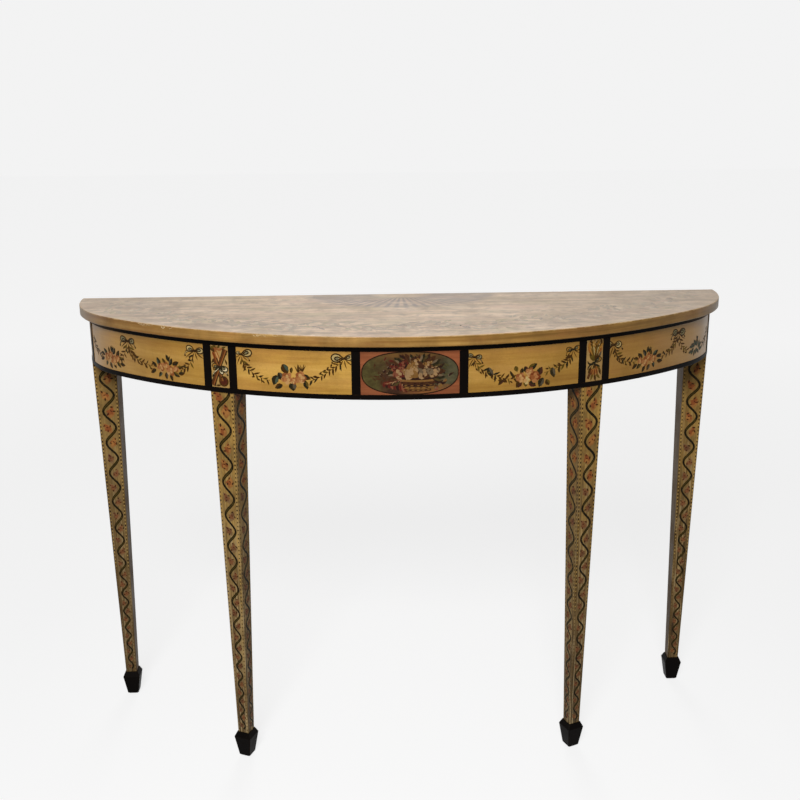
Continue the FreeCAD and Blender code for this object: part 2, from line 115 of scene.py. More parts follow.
# Garlands of the frieze, and how much larger the leaves of its front panels are than in their tables
GARLAND_PITCH = 0.0044
GARLAND_LEAF = 0.0115
LEAF_LENGTHEN = 1.1
LEAF_WIDEN = 1.2

# Painted vine on the legs; its swing, shift, thickness, swell and buds are shares of the leg's half width
VINE_PITCH = 1.56
VINE_FIRST_SWING = 0.713
VINE_TOP = FRIEZE_BOTTOM - 0.0005
VINE_BOTTOM = 0.060
FIRST_BUD = VINE_TOP - 0.011
VINE_SAG = 0.016
VINE_SWING = 0.38
VINE_SWING_GROWTH = 0.20
VINE_SHIFT = 0.06
VINE_THICKNESS = 0.17
VINE_SWELL = 0.07
VINE_LEAST = 0.0008
BUD_ROOM = 0.008
BUD_ASIDE = 0.22
FIRST_BUD_ASIDE = 0.34
BUD_SIZES = (0.82, 0.94)
DULL_BELOW = 0.56
DOT_PITCH = 0.0080
DOT_RADIUS = 0.0015
DOT_BETWEEN = 0.0011
DOT_MARGIN = 0.0029

# Camera, as the photograph was taken
CAMERA_PLACE = (-0.0846, -1.9768, 1.2668)
CAMERA_HEADING = -2.13
CAMERA_TILT = -16.07
CAMERA_ROLL = 0.42
CAMERA_LENS = 48.95
CAMERA_SENSOR = 36.0

# Studio
FLOOR_SIZE = 30.0
FLOOR_COLOUR = (0.20, 0.20, 0.20, 1)
FLOOR_GLOW = 0.775
FLOOR_FAR_GLOW = 0.855
FLOOR_NEAR = 1.0
FLOOR_FAR = 4.0
BACKDROP_COLOUR = (0.895, 0.895, 0.895)
ROOM_LIGHT = 0.14
LAMP_PLACE = (-0.5, -3.0, 2.9)
LAMP_WIDTH = 1.5
LAMP_POWER = 132
LAMP_BEAM = 180
BACK_LAMP_PLACE = (0.0, 3.2, 1.0)
BACK_LAMP_POWER = 8
BACK_LAMP_BEAM = 50
LAMP_AIM = (0.0, 0.0, 0.6)

# Shaders: roughness of the varnish and of paint from clean to dirty, strength and depth of the relief
VARNISH_ROUGHNESS = 0.35
PAINT_ROUGHNESS = (0.45, 0.65)
RELIEF_STRENGTH = 0.5
PAINT_RELIEF = 0.0002
FINE_RELIEF = 0.0001

# Colours of the paints, as the numbers of a colour chart
OCHRE_GROUND = (168, 126, 62)
# Ground of the top: faded paint made pale by painted sheen
TOP_GROUND_AND_SHEEN = (206, 189, 168)
PAINT_CHART = {
    "leaf_brown": (66, 42, 14),
    "leaf_dark": (36, 32, 18),
    "leaf_olive": (94, 74, 26),
    "leaf_teal": (68, 78, 62),
    "leaf_slate": (84, 74, 58),
    "leaf_plum": (66, 36, 26),
    "stem_brown": (100, 68, 26),
    "rose_cream": (190, 144, 90),
    "rose_salmon": (168, 112, 66),
    "rose_rust": (140, 82, 44),
    "rose_heart": (112, 52, 24),
    "ribbon_pale": (192, 166, 108),
    "ribbon_grey": (126, 118, 86),
    "ribbon_white": (224, 206, 162),
    "ribbon_dark": (48, 31, 12),
    "vine_dark": (22, 18, 7),
    "vine_olive": (66, 54, 18),
    "bud_rust": (138, 78, 42),
    "bud_pale": (164, 110, 58),
    "bud_wash": (150, 102, 56),
    "bud_dull": (126, 82, 52),
    "bud_worn": (108, 74, 50),
    "bud_faint": (130, 102, 68),
    "bud_maroon": (78, 36, 22),
    "bud_leaf": (60, 36, 18),
    "dot_brown": (30, 19, 8),
    "dot_worn": (92, 70, 40),
    # painted glints between the dots on the legs
    "dot_pale": (196, 160, 88),
    "oval_line": (34, 19, 11),
    "trophy_gold": (164, 116, 48),
    "trophy_rust": (150, 92, 44),
    "trophy_brown": (90, 50, 24),
    "still_cream": (154, 122, 84),
    "still_grey": (106, 88, 66),
    "still_gold": (124, 88, 46),
    "still_rose": (120, 70, 50),
    "still_wine": (84, 30, 24),
    "still_brown": (66, 38, 22),
    "still_olive": (72, 58, 32),
    "still_plum": (42, 23, 18),
    "still_moss": (74, 70, 40),
    # top_ paints: faded, and pale with painted sheen like the top's ground
    "top_grey": (186, 174, 160),
    "top_olive": (190, 178, 150),
    "top_pink": (206, 180, 164),
    "top_pale": (220, 206, 188),
    "top_plum": (166, 151, 146),
    "bare_gesso": (240, 216, 174),
}

# Sets of paints: shade, body, light and heart of a flower, edge and face of a ribbon
ROSE_SALMON = ("rose_rust", "rose_salmon", "rose_cream", "rose_heart")
ROSE_RED = ("rose_heart", "rose_rust", "rose_salmon", "leaf_plum")
ROSE_YELLOW = ("trophy_gold", "rose_cream", "ribbon_pale", "leaf_brown")
ROSE_FADED_AND_SHEENED = ("top_grey", "top_pink", "top_pale", "top_plum")
HEAP_CREAM = ("still_gold", "still_cream", "still_cream", "still_brown")
HEAP_GREY = ("still_brown", "still_grey", "still_cream", "still_plum")
HEAP_WINE = ("still_plum", "still_wine", "still_rose", "still_plum")
HEAP_ROSY = ("still_wine", "still_rose", "still_cream", "still_wine")
HEAP_GOLD = ("still_brown", "still_gold", "still_cream", "still_brown")
BOW_GREY = ("ribbon_dark", "ribbon_grey")
BOW_PALE = ("ribbon_dark", "ribbon_pale")
BOW_WHITE = ("leaf_dark", "ribbon_white")
BOW_DARK = ("leaf_dark", "trophy_gold")


# Surfaces that are painted on: each takes a place on the face and a lift, and gives a point
def on_curve(along, inset):
    """Place on one inset of the half oval, measured along it from the middle to the right."""
    bow = BOW_RADIUS - inset
    end = TOP_END_RADIUS - inset
    run = abs(along)
    if run <= bow * JOIN_ANGLE:
        turn = run / bow
        x, y = bow * math.sin(turn), BOW_CENTRE_Y - bow * math.cos(turn)
    else:
        turn = JOIN_ANGLE + (run - bow * JOIN_ANGLE) / end
        x, y = END_CENTRE_X + end * math.sin(turn), BACK_Y - end * math.cos(turn)
    return math.copysign(x, along), y, math.copysign(turn, along)


def frieze_face(along, height, lift):
    x, y, turn = on_curve(along, PANEL_FACE_INSET)
    return Vector((x + lift * math.sin(turn), y - lift * math.cos(turn), height))


def top_face(along, inset, lift):
    x, y, turn = on_curve(along, 0.0)
    return Vector((x - inset * math.sin(turn), y + inset * math.cos(turn), TOP_HEIGHT + lift))


def top_edge(along, up, lift):
    """Place on the rim of the top, measured up from the foot of its rounded arris."""
    x, y, turn = on_curve(along, 0.0)
    arris_run = TOP_ARRIS * math.pi / 2
    roll = min(max(up / arris_run, 0.0), 1.0) * math.pi / 2
    inset = TOP_ARRIS * (1 - math.cos(roll)) + max(up - arris_run, 0.0) - lift * math.cos(roll)
    drop = TOP_ARRIS * (1 - math.sin(roll)) - min(up, 0.0) - lift * math.sin(roll)
    return Vector((x - inset * math.sin(turn), y + inset * math.cos(turn), TOP_HEIGHT - drop))


def leg_half_width(height):
    return (LEG_ANKLE_WIDTH + LEG_TAPER * (height - FOOT_HEIGHT)) / 2


def leg_face(foot, side):
    """Painted side of the leg over one foot; across runs to the right as one looks at it."""
    low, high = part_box(foot)
    axis = Vector(((low.x + high.x) / 2, (low.y + high.y) / 2, 0.0))
    turn = math.atan2(axis.x, BOW_CENTRE_Y - axis.y) if "front" in foot else 0.0
    right = Vector((math.cos(turn), math.sin(turn), 0.0))
    inward = Vector((-math.sin(turn), math.cos(turn), 0.0))
    out, across_way = {"front": (-inward, right), "right": (right, inward), "left": (-right, -inward)}[side]

    def place(across, height, lift):
        point = axis + out * (leg_half_width(height) + lift) + across_way * across
        return Vector((point.x, point.y, height))

    return place


# Shader building
def paint_colour(red, green, blue):
    """Colour from the 0 to 255 numbers of a colour chart."""
    def linear(level):
        level /= 255
        return level / 12.92 if level <= 0.04045 else ((level + 0.055) / 1.055) ** 2.4

    return (linear(red), linear(green), linear(blue), 1.0)


class Nodes:
    """One node tree, with short ways to add nodes to it."""

    def __init__(self, tree):
        self.tree = tree

    def put(self, kind, sockets=None, **settings):
        """Adds one node with its settings, sets or links its inputs, and gives its outputs."""
        node = self.tree.nodes.new("ShaderNode" + kind)
        for name, value in settings.items():
            setattr(node, name, value)
        for key, value in (sockets or {}).items():
            if isinstance(value, bpy.types.NodeSocket):
                self.tree.links.new(value, node.inputs[key])
            else:
                node.inputs[key].default_value = value
        return node.outputs

    def reckon(self, operation, first, second=0.0):
        """Result of one sum."""
        return self.put("Math", {0: first, 1: second}, operation=operation)[0]

    def times(self, first, second):
        return self.reckon("MULTIPLY", first, second)

    def plus(self, first, second):
        return self.reckon("ADD", first, second)

    def size(self, value):
        return self.reckon("ABSOLUTE", value)

    def spread(self, value, low, high, to_low=0.0, to_high=1.0):
        """Value moved from one range to another and kept inside it."""
        sockets = {"Value": value, "From Min": low, "From Max": high, "To Min": to_low, "To Max": to_high}
        return self.put("MapRange", sockets)[0]

    def scaled(self, place, scale):
        return self.put("VectorMath", {0: place, 1: scale}, operation="MULTIPLY")[0]

    def noise(self, place, scale, detail=4.0, roughness=0.6):
        sockets = {"Vector": place, "Scale": scale, "Detail": detail, "Roughness": roughness}
        return self.put("TexNoise", sockets)[0]

    def parts(self, vector):
        """Parts of a vector to the right, to the back and up."""
        return self.put("SeparateXYZ", {0: vector})

    def facing(self):
        """The way the surface faces."""
        return self.put("NewGeometry")["Normal"]

    def mix(self, share, first, second):
        """Colour mixed from two colours by a share."""
        return self.put("Mix", {0: share, 6: first, 7: second}, data_type="RGBA")[2]

    def tint(self, colour, share, paint):
        """Colour with a share of a paint of the colour chart."""
        return self.mix(share, colour, paint_colour(*paint))


# Shared effects
class Effect(Nodes):
    """Shader group that several finishes share, with a place and other named inputs."""

    def __init__(self, name, **inputs):
        super().__init__(bpy.data.node_groups.new(name, "ShaderNodeTree"))
        for label, value in {"Place": (0, 0, 0), **inputs}.items():
            kind = "Float" if isinstance(value, float) else {3: "Vector", 4: "Color"}[len(value)]
            self.socket(label, "INPUT", kind).default_value = value
        self.given = self.tree.nodes.new("NodeGroupInput").outputs

    def socket(self, label, way, kind):
        return self.tree.interface.new_socket(label, in_out=way, socket_type="NodeSocket" + kind)

    def give(self, **outputs):
        """Puts the results out under their names; gives the group."""
        for label, value in outputs.items():
            self.socket(label, "OUTPUT", "Color" if value.type == "RGBA" else "Float")
        out = self.tree.nodes.new("NodeGroupOutput")
        for label, value in outputs.items():
            self.tree.links.new(value, out.inputs[label])
        return self.tree


def make_brush_marks():
    """Long soft streaks left by the brush, fine across and drawn out along it."""
    group = Effect("brush_marks", Fineness=(6, 6, 150))
    place = group.scaled(group.given["Place"], group.given["Fineness"])
    broad = group.noise(place, 0.35, 3.0, 0.55)
    fine = group.noise(place, 1.6, 5.0, 0.7)
    tone = group.plus(group.times(broad, 0.6), group.times(fine, 0.4))
    return group.give(Tone=group.spread(tone, 0.34, 0.66), Ridges=fine)


def make_old_varnish():
    """Patches of darkened varnish and specks of dirt over a paint."""
    group = Effect("old_varnish", Colour=(0.5, 0.4, 0.3, 1), Stain=(0.1, 0.05, 0.02, 1), Amount=0.4)
    given = group.given
    patches = group.spread(group.noise(given["Place"], 17.0, 6.0, 0.62), 0.42, 0.72)
    specks = group.spread(group.noise(given["Place"], 420.0, 2.0, 0.5), 0.66, 0.74)
    dirt = group.reckon("MAXIMUM", patches, group.times(specks, 0.8))
    colour = group.mix(group.times(dirt, given["Amount"]), given["Colour"], given["Stain"])
    return group.give(Colour=colour, Patches=dirt)


def make_edge_wear():
    """Where hands have rubbed the edges through."""
    group = Effect("edge_wear", Width=0.002)
    rounded = group.put("Bevel", {"Radius": group.given["Width"]}, samples=6)[0]
    match = group.put("VectorMath", {0: rounded, 1: group.facing()}, operation="DOT_PRODUCT")["Value"]
    rub = group.spread(group.noise(group.given["Place"], 75.0, 5.0, 0.7), 0.45, 0.6)
    return group.give(Wear=group.times(group.spread(match, 0.999, 0.90), rub))


def make_crackle():
    """Fine net of cracks in old paint."""
    group = Effect("crackle", Cells=170.0)
    place = group.given["Place"]
    stir = group.put("TexNoise", {"Vector": place, "Scale": 60.0, "Detail": 2.0})["Color"]
    moved = group.scaled(stir, (0.006, 0.006, 0.006))
    stirred = group.put("VectorMath", {0: place, 1: moved}, operation="ADD")[0]
    sockets = {"Vector": stirred, "Scale": group.given["Cells"]}
    edge = group.put("TexVoronoi", sockets, feature="DISTANCE_TO_EDGE")["Distance"]
    return group.give(Cracks=group.spread(edge, 0.0, 0.05, 1.0, 0.0))


def make_wood_figure():
    """Rings of a plank, drawn out along it."""
    group = Effect("wood_figure", Run=(2, 30, 30))
    place = group.scaled(group.given["Place"], group.given["Run"])
    rings = group.reckon("SINE", group.times(group.noise(place, 1.0, 3.0, 0.5), 38.0))
    return group.give(Figure=group.spread(rings, -1.0, 1.0), Pores=group.noise(place, 14.0, 3.0, 0.7))


def make_soft_clouds():
    """Soft clouds between two shares, finer along an axis the larger its run, and the noise under them."""
    look = {"Run": (9, 9, 9), "Detail": 4.0, "Roughness": 0.6}
    group = Effect("soft_clouds", **look, Low=0.4, High=0.6, Least=0.0, Most=1.0)
    given = group.given
    place = group.scaled(given["Place"], given["Run"])
    noise = group.noise(place, 1.0, given["Detail"], given["Roughness"])
    share = group.spread(noise, given["Low"], given["High"], given["Least"], given["Most"])
    return group.give(Share=share, Noise=noise)


BRUSH_MARKS = make_brush_marks()
OLD_VARNISH = make_old_varnish()
EDGE_WEAR = make_edge_wear()
CRACKLE = make_crackle()
WOOD_FIGURE = make_wood_figure()
SOFT_CLOUDS = make_soft_clouds()


# Finishes
class Finish(Nodes):
    """Material in the making: ways to mix its colour, and to join it to the shader at the end."""

    def __init__(self, name, coat, specular=0.12):
        self.material = bpy.data.materials.new(name)
        self.material.use_nodes = True
        super().__init__(self.material.node_tree)
        self.shader = self.tree.nodes["Principled BSDF"].inputs
        self.shader["Coat Weight"].default_value = coat
        self.shader["Coat Roughness"].default_value = VARNISH_ROUGHNESS
        self.shader["Specular IOR Level"].default_value = specular
        self.place = self.put("TexCoord")["Object"]

    def effect(self, group, **values):
        """Outputs of a shared effect at this place."""
        return self.put("Group", {"Place": self.place, **values}, node_tree=group)

    def clouds(self, run, low, high, share=1.0, detail=4.0, roughness=0.6, least=0.0):
        """Share that comes and goes over the surface."""
        look = {"Run": run, "Detail": detail, "Roughness": roughness}
        return self.effect(SOFT_CLOUDS, **look, Low=low, High=high, Least=least, Most=share)["Share"]

    def stretched_noise(self, run, detail=4.0, roughness=0.6):
        """Noise that is finer along an axis the larger its run."""
        return self.effect(SOFT_CLOUDS, Run=run, Detail=detail, Roughness=roughness)["Noise"]

    def streaks(self, fineness, light, middle, dark):
        """Three-toned paint laid on in streaks: its colour and its relief."""
        marks = self.effect(BRUSH_MARKS, Fineness=fineness)
        colour = self.tint(paint_colour(*dark), self.spread(marks["Tone"], 0.0, 0.5), middle)
        return self.tint(colour, self.spread(marks["Tone"], 0.5, 1.0), light), marks["Ridges"]

    def age(self, colour, stain, amount):
        """Colour under old varnish, and where the varnish is dark."""
        aged = self.effect(OLD_VARNISH, Colour=colour, Stain=paint_colour(*stain), Amount=amount)
        return aged["Colour"], aged["Patches"]

    def rub(self, colour, width, amount, under):
        """Colour with its edges worn through to what lies under it."""
        wear = self.effect(EDGE_WEAR, Width=width)["Wear"]
        return self.tint(colour, self.times(wear, amount), under)

    def join(self, colour, dirt, height, roughness=PAINT_ROUGHNESS, depth=PAINT_RELIEF):
        """Joins colour, relief, and roughness from clean to dirty to the shader; gives the material."""
        bump = self.put("Bump", {"Height": height, "Strength": RELIEF_STRENGTH, "Distance": depth})[0]
        self.tree.links.new(colour, self.shader["Base Color"])
        self.tree.links.new(self.spread(dirt, 0.0, 1.0, *roughness), self.shader["Roughness"])
        self.tree.links.new(bump, self.shader["Normal"])
        return self.material


def make_frieze_ochre(name, veil):
    """Ochre ground of the frieze, brushed level and toned by varnish, with painted shade right and left and
    painted sheen at its glossy ends.
    """
    finish = Finish(name, 0.3)
    colour, ridges = finish.streaks((7, 7, 130), (212, 166, 82), (192, 146, 62), (164, 118, 42))
    colour = finish.tint(colour, finish.clouds((9, 9, 26), 0.45, 0.7, 0.4, 3.0), (188, 132, 74))
    across = finish.parts(finish.place)[0]
    # Painted shade: darker over the right half and on the left side, where less light falls
    for near, far, share in ((-0.06, 0.24, 0.38), (0.30, 0.46, 0.24), (-0.30, -0.46, 0.34)):
        colour = finish.tint(colour, finish.spread(across, near, far, 0.0, share), (112, 74, 28))
    colour, patches = finish.age(colour, (128, 92, 34), 0.45)
    cracks = finish.effect(CRACKLE, Cells=150.0)["Cracks"]
    colour = finish.tint(colour, finish.times(cracks, 0.15), (90, 58, 22))
    outward = finish.size(across)
    # Painted sheen: paler towards both ends of the curve
    colour = finish.tint(colour, finish.spread(outward, 0.46, 0.60, 0.0, 0.35), (190, 150, 92))
    colour = finish.tint(colour, veil, (158, 134, 92))
    gloss = finish.spread(outward, 0.42, 0.58, 0.3, 0.7)
    finish.tree.links.new(gloss, finish.shader["Coat Weight"])
    return finish.join(colour, patches, ridges)


def make_leg_ochre():
    """Ochre of the legs, streaked downwards, with painted shade on the sides and back left leg, and wear and
    painted shade towards the feet.
    """
    finish = Finish("leg_ochre", 0.05)
    across, _, height = finish.parts(finish.place)
    colour, ridges = finish.streaks((150, 150, 7), (206, 166, 92), (176, 137, 69), (118, 87, 41))
    colour = finish.tint(colour, finish.clouds((50, 50, 24), 0.46, 0.62, 0.5), (140, 114, 66))
    colour = finish.tint(colour, finish.clouds((160, 160, 80), 0.50, 0.66, 0.55, 3.0), (104, 78, 40))
    # Darker paint lower down: wear, with painted shade where the light falls off towards the floor
    worn, worn_ridges = finish.streaks((150, 150, 8), (184, 153, 100), (114, 91, 56), (26, 18, 8))
    level = finish.plus(height, finish.times(finish.stretched_noise((40, 40, 8)), 0.3))
    colour = finish.mix(finish.spread(level, 0.88, 0.36), colour, worn)
    low = finish.spread(level, 0.84, 0.46)
    for run, share, hair in (((420, 420, 9), 0.8, (44, 34, 20)), ((330, 330, 7), 0.65, (200, 174, 128))):
        hairs = finish.times(finish.clouds(run, 0.52, 0.62, share, 2.0), low)
        colour = finish.tint(colour, hairs, hair)
    # Painted shade on the side faces, under the frieze
    facing = finish.parts(finish.facing())[0]
    sides = finish.spread(finish.size(facing), 0.5, 0.8)
    shaded = finish.times(sides, finish.spread(height, 0.50, 0.72, 0.0, 0.62))
    colour = finish.tint(colour, shaded, (84, 56, 32))
    # Painted shade on the inner faces of the back legs
    inner_shade = finish.spread(finish.times(facing, across), -0.40, -0.50, 0.0, 0.85)
    colour = finish.tint(colour, inner_shade, (58, 42, 26))
    # Painted shade: the back left leg darker overall
    colour = finish.tint(colour, finish.spread(across, -0.45, -0.53, 0.0, 0.42), (74, 56, 32))
    colour, patches = finish.age(colour, (70, 48, 22), 0.5)
    colour = finish.rub(colour, 0.0024, 0.85, (40, 27, 13))
    return finish.join(colour, patches, finish.plus(ridges, worn_ridges), (0.5, 0.7))


def oval_reach(finish, across, forward, half_width, depth):
    """How far out a place lies in a half oval: 0 at the middle of its back, 1 on its edge."""
    wide = finish.reckon("POWER", finish.reckon("DIVIDE", across, half_width), 2.0)
    deep = finish.reckon("POWER", finish.reckon("DIVIDE", forward, depth), 2.0)
    return finish.reckon("SQRT", finish.plus(wide, deep))


def faded_fan(finish, across, forward):
    """Share of the faded fan of fluted rays against the middle of the back edge."""
    reach = oval_reach(finish, across, forward, FAN_HALF_WIDTH, FAN_DEPTH)
    deep = finish.times(forward, FAN_HALF_WIDTH / FAN_DEPTH)
    turn = finish.reckon("ARCTAN2", deep, across)
    waves = finish.reckon("SINE", finish.times(turn, 2.0 * FAN_RAYS))
    ring = finish.times(finish.spread(reach, 1.02, 0.90), finish.spread(reach, 0.22, 0.34))
    return finish.times(ring, finish.spread(waves, -0.6, 0.8, 0.4, 1.0))


def top_flat(finish, across, forward):
    """Flat of the top, a pale streaked ground with painted sheen, darker at the ends, a soiled border and a
    fan: colour, relief and dirt.
    """
    # Pale tones: faded paint with painted sheen
    colour, ridges = finish.streaks((4, 230, 4), (255, 231, 203), (236, 210, 182), (192, 168, 140))
    colour = finish.tint(colour, finish.clouds((50, 62, 50), 0.5, 0.64, 0.55, 3.0), (164, 148, 134))
    for run, faded_and_sheened in (
        ((9, 26, 9), (200, 181, 162)),
        ((7, 30, 8), (224, 192, 168)),
        ((8, 28, 5), (208, 190, 156)),
    ):
        colour = finish.tint(colour, finish.clouds(run, 0.48, 0.68, 0.7, 5.0, 0.65), faded_and_sheened)
    reach = oval_reach(finish, across, forward, HALF_WIDTH, TOP_DEPTH)
    band = finish.times(finish.spread(reach, 0.62, 0.82), finish.spread(reach, 1.0, 0.93))
    grime = finish.clouds((26, 48, 26), 0.44, 0.62, 1.0, 6.0, 0.7)
    colour = finish.tint(colour, finish.times(finish.times(band, grime), 0.8), (170, 151, 134))
    worn = finish.clouds((12, 40, 12), 0.36, 0.58, 1.0, 5.0, 0.7, 0.4)
    colour = finish.tint(colour, finish.times(faded_fan(finish, across, forward), worn), (158, 144, 138))
    # Darker towards both ends, where the painted sheen is less
    for near, far, share in ((0.10, 0.60, 0.45), (-0.30, -0.62, 0.35)):
        colour = finish.tint(colour, finish.spread(across, near, far, 0.0, share), (166, 146, 120))
    colour, patches = finish.age(colour, (170, 151, 134), 0.55)
    return colour, ridges, patches


def top_rim(finish, across):
    """Rim of the top, ochre with rusty places, darker to the sides, with a painted sheen at its ends: colour
    and relief.
    """
    colour, ridges = finish.streaks((5, 5, 260), (200, 158, 92), (168, 126, 62), (124, 88, 36))
    colour = finish.tint(colour, finish.clouds((10, 10, 60), 0.48, 0.66, 0.55), (150, 98, 50))
    colour = finish.tint(colour, finish.spread(across, 0.12, 0.46, 0.0, 0.45), (84, 64, 32))
    colour = finish.tint(colour, finish.spread(across, -0.34, -0.50, 0.0, 0.36), (78, 34, 6))
    colour, patches = finish.age(colour, (84, 58, 22), 0.6)
    # Painted sheen at both ends of the rim
    colour = finish.tint(colour, finish.spread(finish.size(across), 0.54, 0.63, 0.0, 0.6), (160, 148, 130))
    return colour, finish.times(ridges, patches)


def make_top_paint():
    """Paint of the top, its flat and its rim, rubbed along the arris between them."""
    finish = Finish("top_paint", 0.2)
    across, deep, _ = finish.parts(finish.place)
    flat, ridges, patches = top_flat(finish, across, finish.reckon("SUBTRACT", BACK_Y, deep))
    rim, rim_ridges = top_rim(finish, across)
    facing = finish.parts(finish.facing())[2]
    colour = finish.mix(finish.spread(facing, 0.45, 0.75), rim, flat)
    arris = finish.times(finish.spread(facing, 0.05, 0.3), finish.spread(facing, 0.995, 0.93))
    worn = finish.clouds((75, 75, 75), 0.45, 0.6, 0.45, 5.0, 0.7)
    colour = finish.tint(colour, finish.times(arris, worn), (214, 182, 130))
    return finish.join(colour, patches, finish.plus(ridges, rim_ridges), (0.42, 0.6))


def make_tablet_red():
    """Brick red of the tablet's corners."""
    finish = Finish("tablet_red", 0.1)
    colour, ridges = finish.streaks((14, 14, 110), (160, 94, 58), (134, 73, 43), (108, 52, 30))
    colour, patches = finish.age(colour, (112, 76, 42), 0.45)
    return finish.join(colour, patches, ridges)


def make_oval_ground():
    """Ground inside the tablet's oval: olive to the left, brown in the middle, grey-green to the right."""
    finish = Finish("oval_ground", 0.0, 0.05)
    across, _, height = finish.parts(finish.place)
    cloud = finish.stretched_noise((40, 40, 70), 6.0, 0.7)
    drift = finish.plus(across, finish.times(cloud, 0.06))
    olive, ridges = finish.streaks((60, 60, 90), (112, 102, 60), (84, 76, 42), (58, 46, 26))
    brown, _ = finish.streaks((50, 50, 80), (98, 66, 46), (68, 43, 31), (46, 28, 21))
    grey, _ = finish.streaks((60, 60, 90), (96, 90, 64), (72, 68, 48), (50, 44, 30))
    colour = finish.mix(finish.spread(drift, -0.035, -0.005), olive, brown)
    colour = finish.mix(finish.spread(drift, 0.060, 0.085), colour, grey)
    rise = finish.plus(height, finish.times(cloud, 0.03))
    middle = finish.spread(finish.size(across), 0.07, 0.03)
    glow = finish.times(finish.spread(rise, 0.828, 0.846), middle)
    colour = finish.tint(colour, glow, (116, 84, 44))
    ledge = finish.times(finish.spread(rise, 0.790, 0.780), finish.spread(across, -0.02, 0.02))
    colour = finish.tint(colour, ledge, (136, 88, 48))
    colour, patches = finish.age(colour, (50, 34, 22), 0.45)
    return finish.join(colour, patches, ridges)


def make_ebonised():
    """Black-stained wood, brown where it is rubbed, with a painted sheen under the ends of the top."""
    finish = Finish("ebonised_wood", 0.0, 0.03)
    across, _, height = finish.parts(finish.place)
    pores = finish.effect(WOOD_FIGURE, Run=(40, 40, 40))["Pores"]
    colour = finish.tint(paint_colour(4, 3, 3), pores, (12, 8, 6))
    colour, patches = finish.age(colour, (18, 12, 8), 0.4)
    colour = finish.rub(colour, 0.0015, 0.5, (58, 40, 24))
    # Painted sheen: the band under the ends of the top paler brown
    end_sheen = finish.spread(finish.size(across), 0.51, 0.61, 0.0, 0.65)
    colour = finish.tint(colour, finish.times(end_sheen, finish.spread(height, 0.80, 0.82)), (112, 84, 50))
    return finish.join(colour, patches, pores, (0.38, 0.55), FINE_RELIEF)


def make_bare_pine(name, run):
    """Unpainted inside wood, darkened with age, its grain along one direction."""
    finish = Finish(name, 0.0)
    figure = finish.effect(WOOD_FIGURE, Run=run)
    colour = finish.tint(paint_colour(172, 128, 80), figure["Figure"], (140, 98, 58))
    colour = finish.tint(colour, finish.spread(figure["Pores"], 0.4, 0.8, 0.0, 0.5), (104, 70, 40))
    colour, patches = finish.age(colour, (76, 54, 36), 0.55)
    return finish.join(colour, patches, figure["Pores"], (0.7, 0.85), 0.0003)


def make_screw_steel():
    """Dull steel with spots of rust."""
    finish = Finish("screw_steel", 0.0, 0.5)
    finish.shader["Metallic"].default_value = 0.9
    rust = finish.clouds((260, 260, 260), 0.5, 0.62, 1.0, 5.0)
    colour = finish.tint(paint_colour(124, 120, 114), rust, (88, 58, 36))
    return finish.join(colour, rust, rust, (0.35, 0.7), FINE_RELIEF)


def make_stroke_paint(name, full):
    """Thin paint of the ornament: uneven in tone, with the ground showing where it is worn."""
    finish = Finish("paint_" + name, 0.0, 0.05)
    faded_and_sheened = name.startswith("top")
    ground = TOP_GROUND_AND_SHEEN if faded_and_sheened else OCHRE_GROUND
    pale = [level + 0.06 * (other - level) for level, other in zip(full, ground)]
    deep = [level * 0.82 for level in full]
    colour, ridges = finish.streaks((150, 150, 150), pale, full, deep)
    low, high, share = (0.40, 0.60, 0.85) if faded_and_sheened else (0.56, 0.70, 0.2)
    thin = finish.clouds((300, 300, 300), low, high, share, 4.0, 0.7)
    colour = finish.tint(colour, thin, ground)
    return finish.join(colour, thin, ridges, depth=FINE_RELIEF)


PAINT = {name: make_stroke_paint(name, chart_colour) for name, chart_colour in PAINT_CHART.items()}
PAINT["oval_ground"] = make_oval_ground()


def give_finishes():
    """Puts a finish on every piece of the frame."""
    finishes = {
        "top_board": make_top_paint(),
        "leg": make_leg_ochre(),
        "panel": make_frieze_ochre("frieze_ochre", 0.0),
        "panel_die": make_frieze_ochre("die_ochre", 0.4),
        "panel_tablet": make_tablet_red(),
        "frieze_bricks": make_bare_pine("pine_bricks", (5, 5, 120)),
        "bearer": make_bare_pine("pine_bearers", (45, 4, 45)),
        "back_rail": make_bare_pine("pine_back_rail", (3, 45, 45)),
        "glue_blocks": make_bare_pine("pine_blocks", (50, 50, 12)),
        "top_screws": make_screw_steel(),
    }
    ebonised = make_ebonised()
    for start in ("band", "stile", "foot"):
        finishes[start] = ebonised
    for name, node in cad_nodes.items():
        start = max((key for key in finishes if name.startswith(key)), key=len)
        node.data.materials.clear()
        node.data.materials.append(finishes[start])


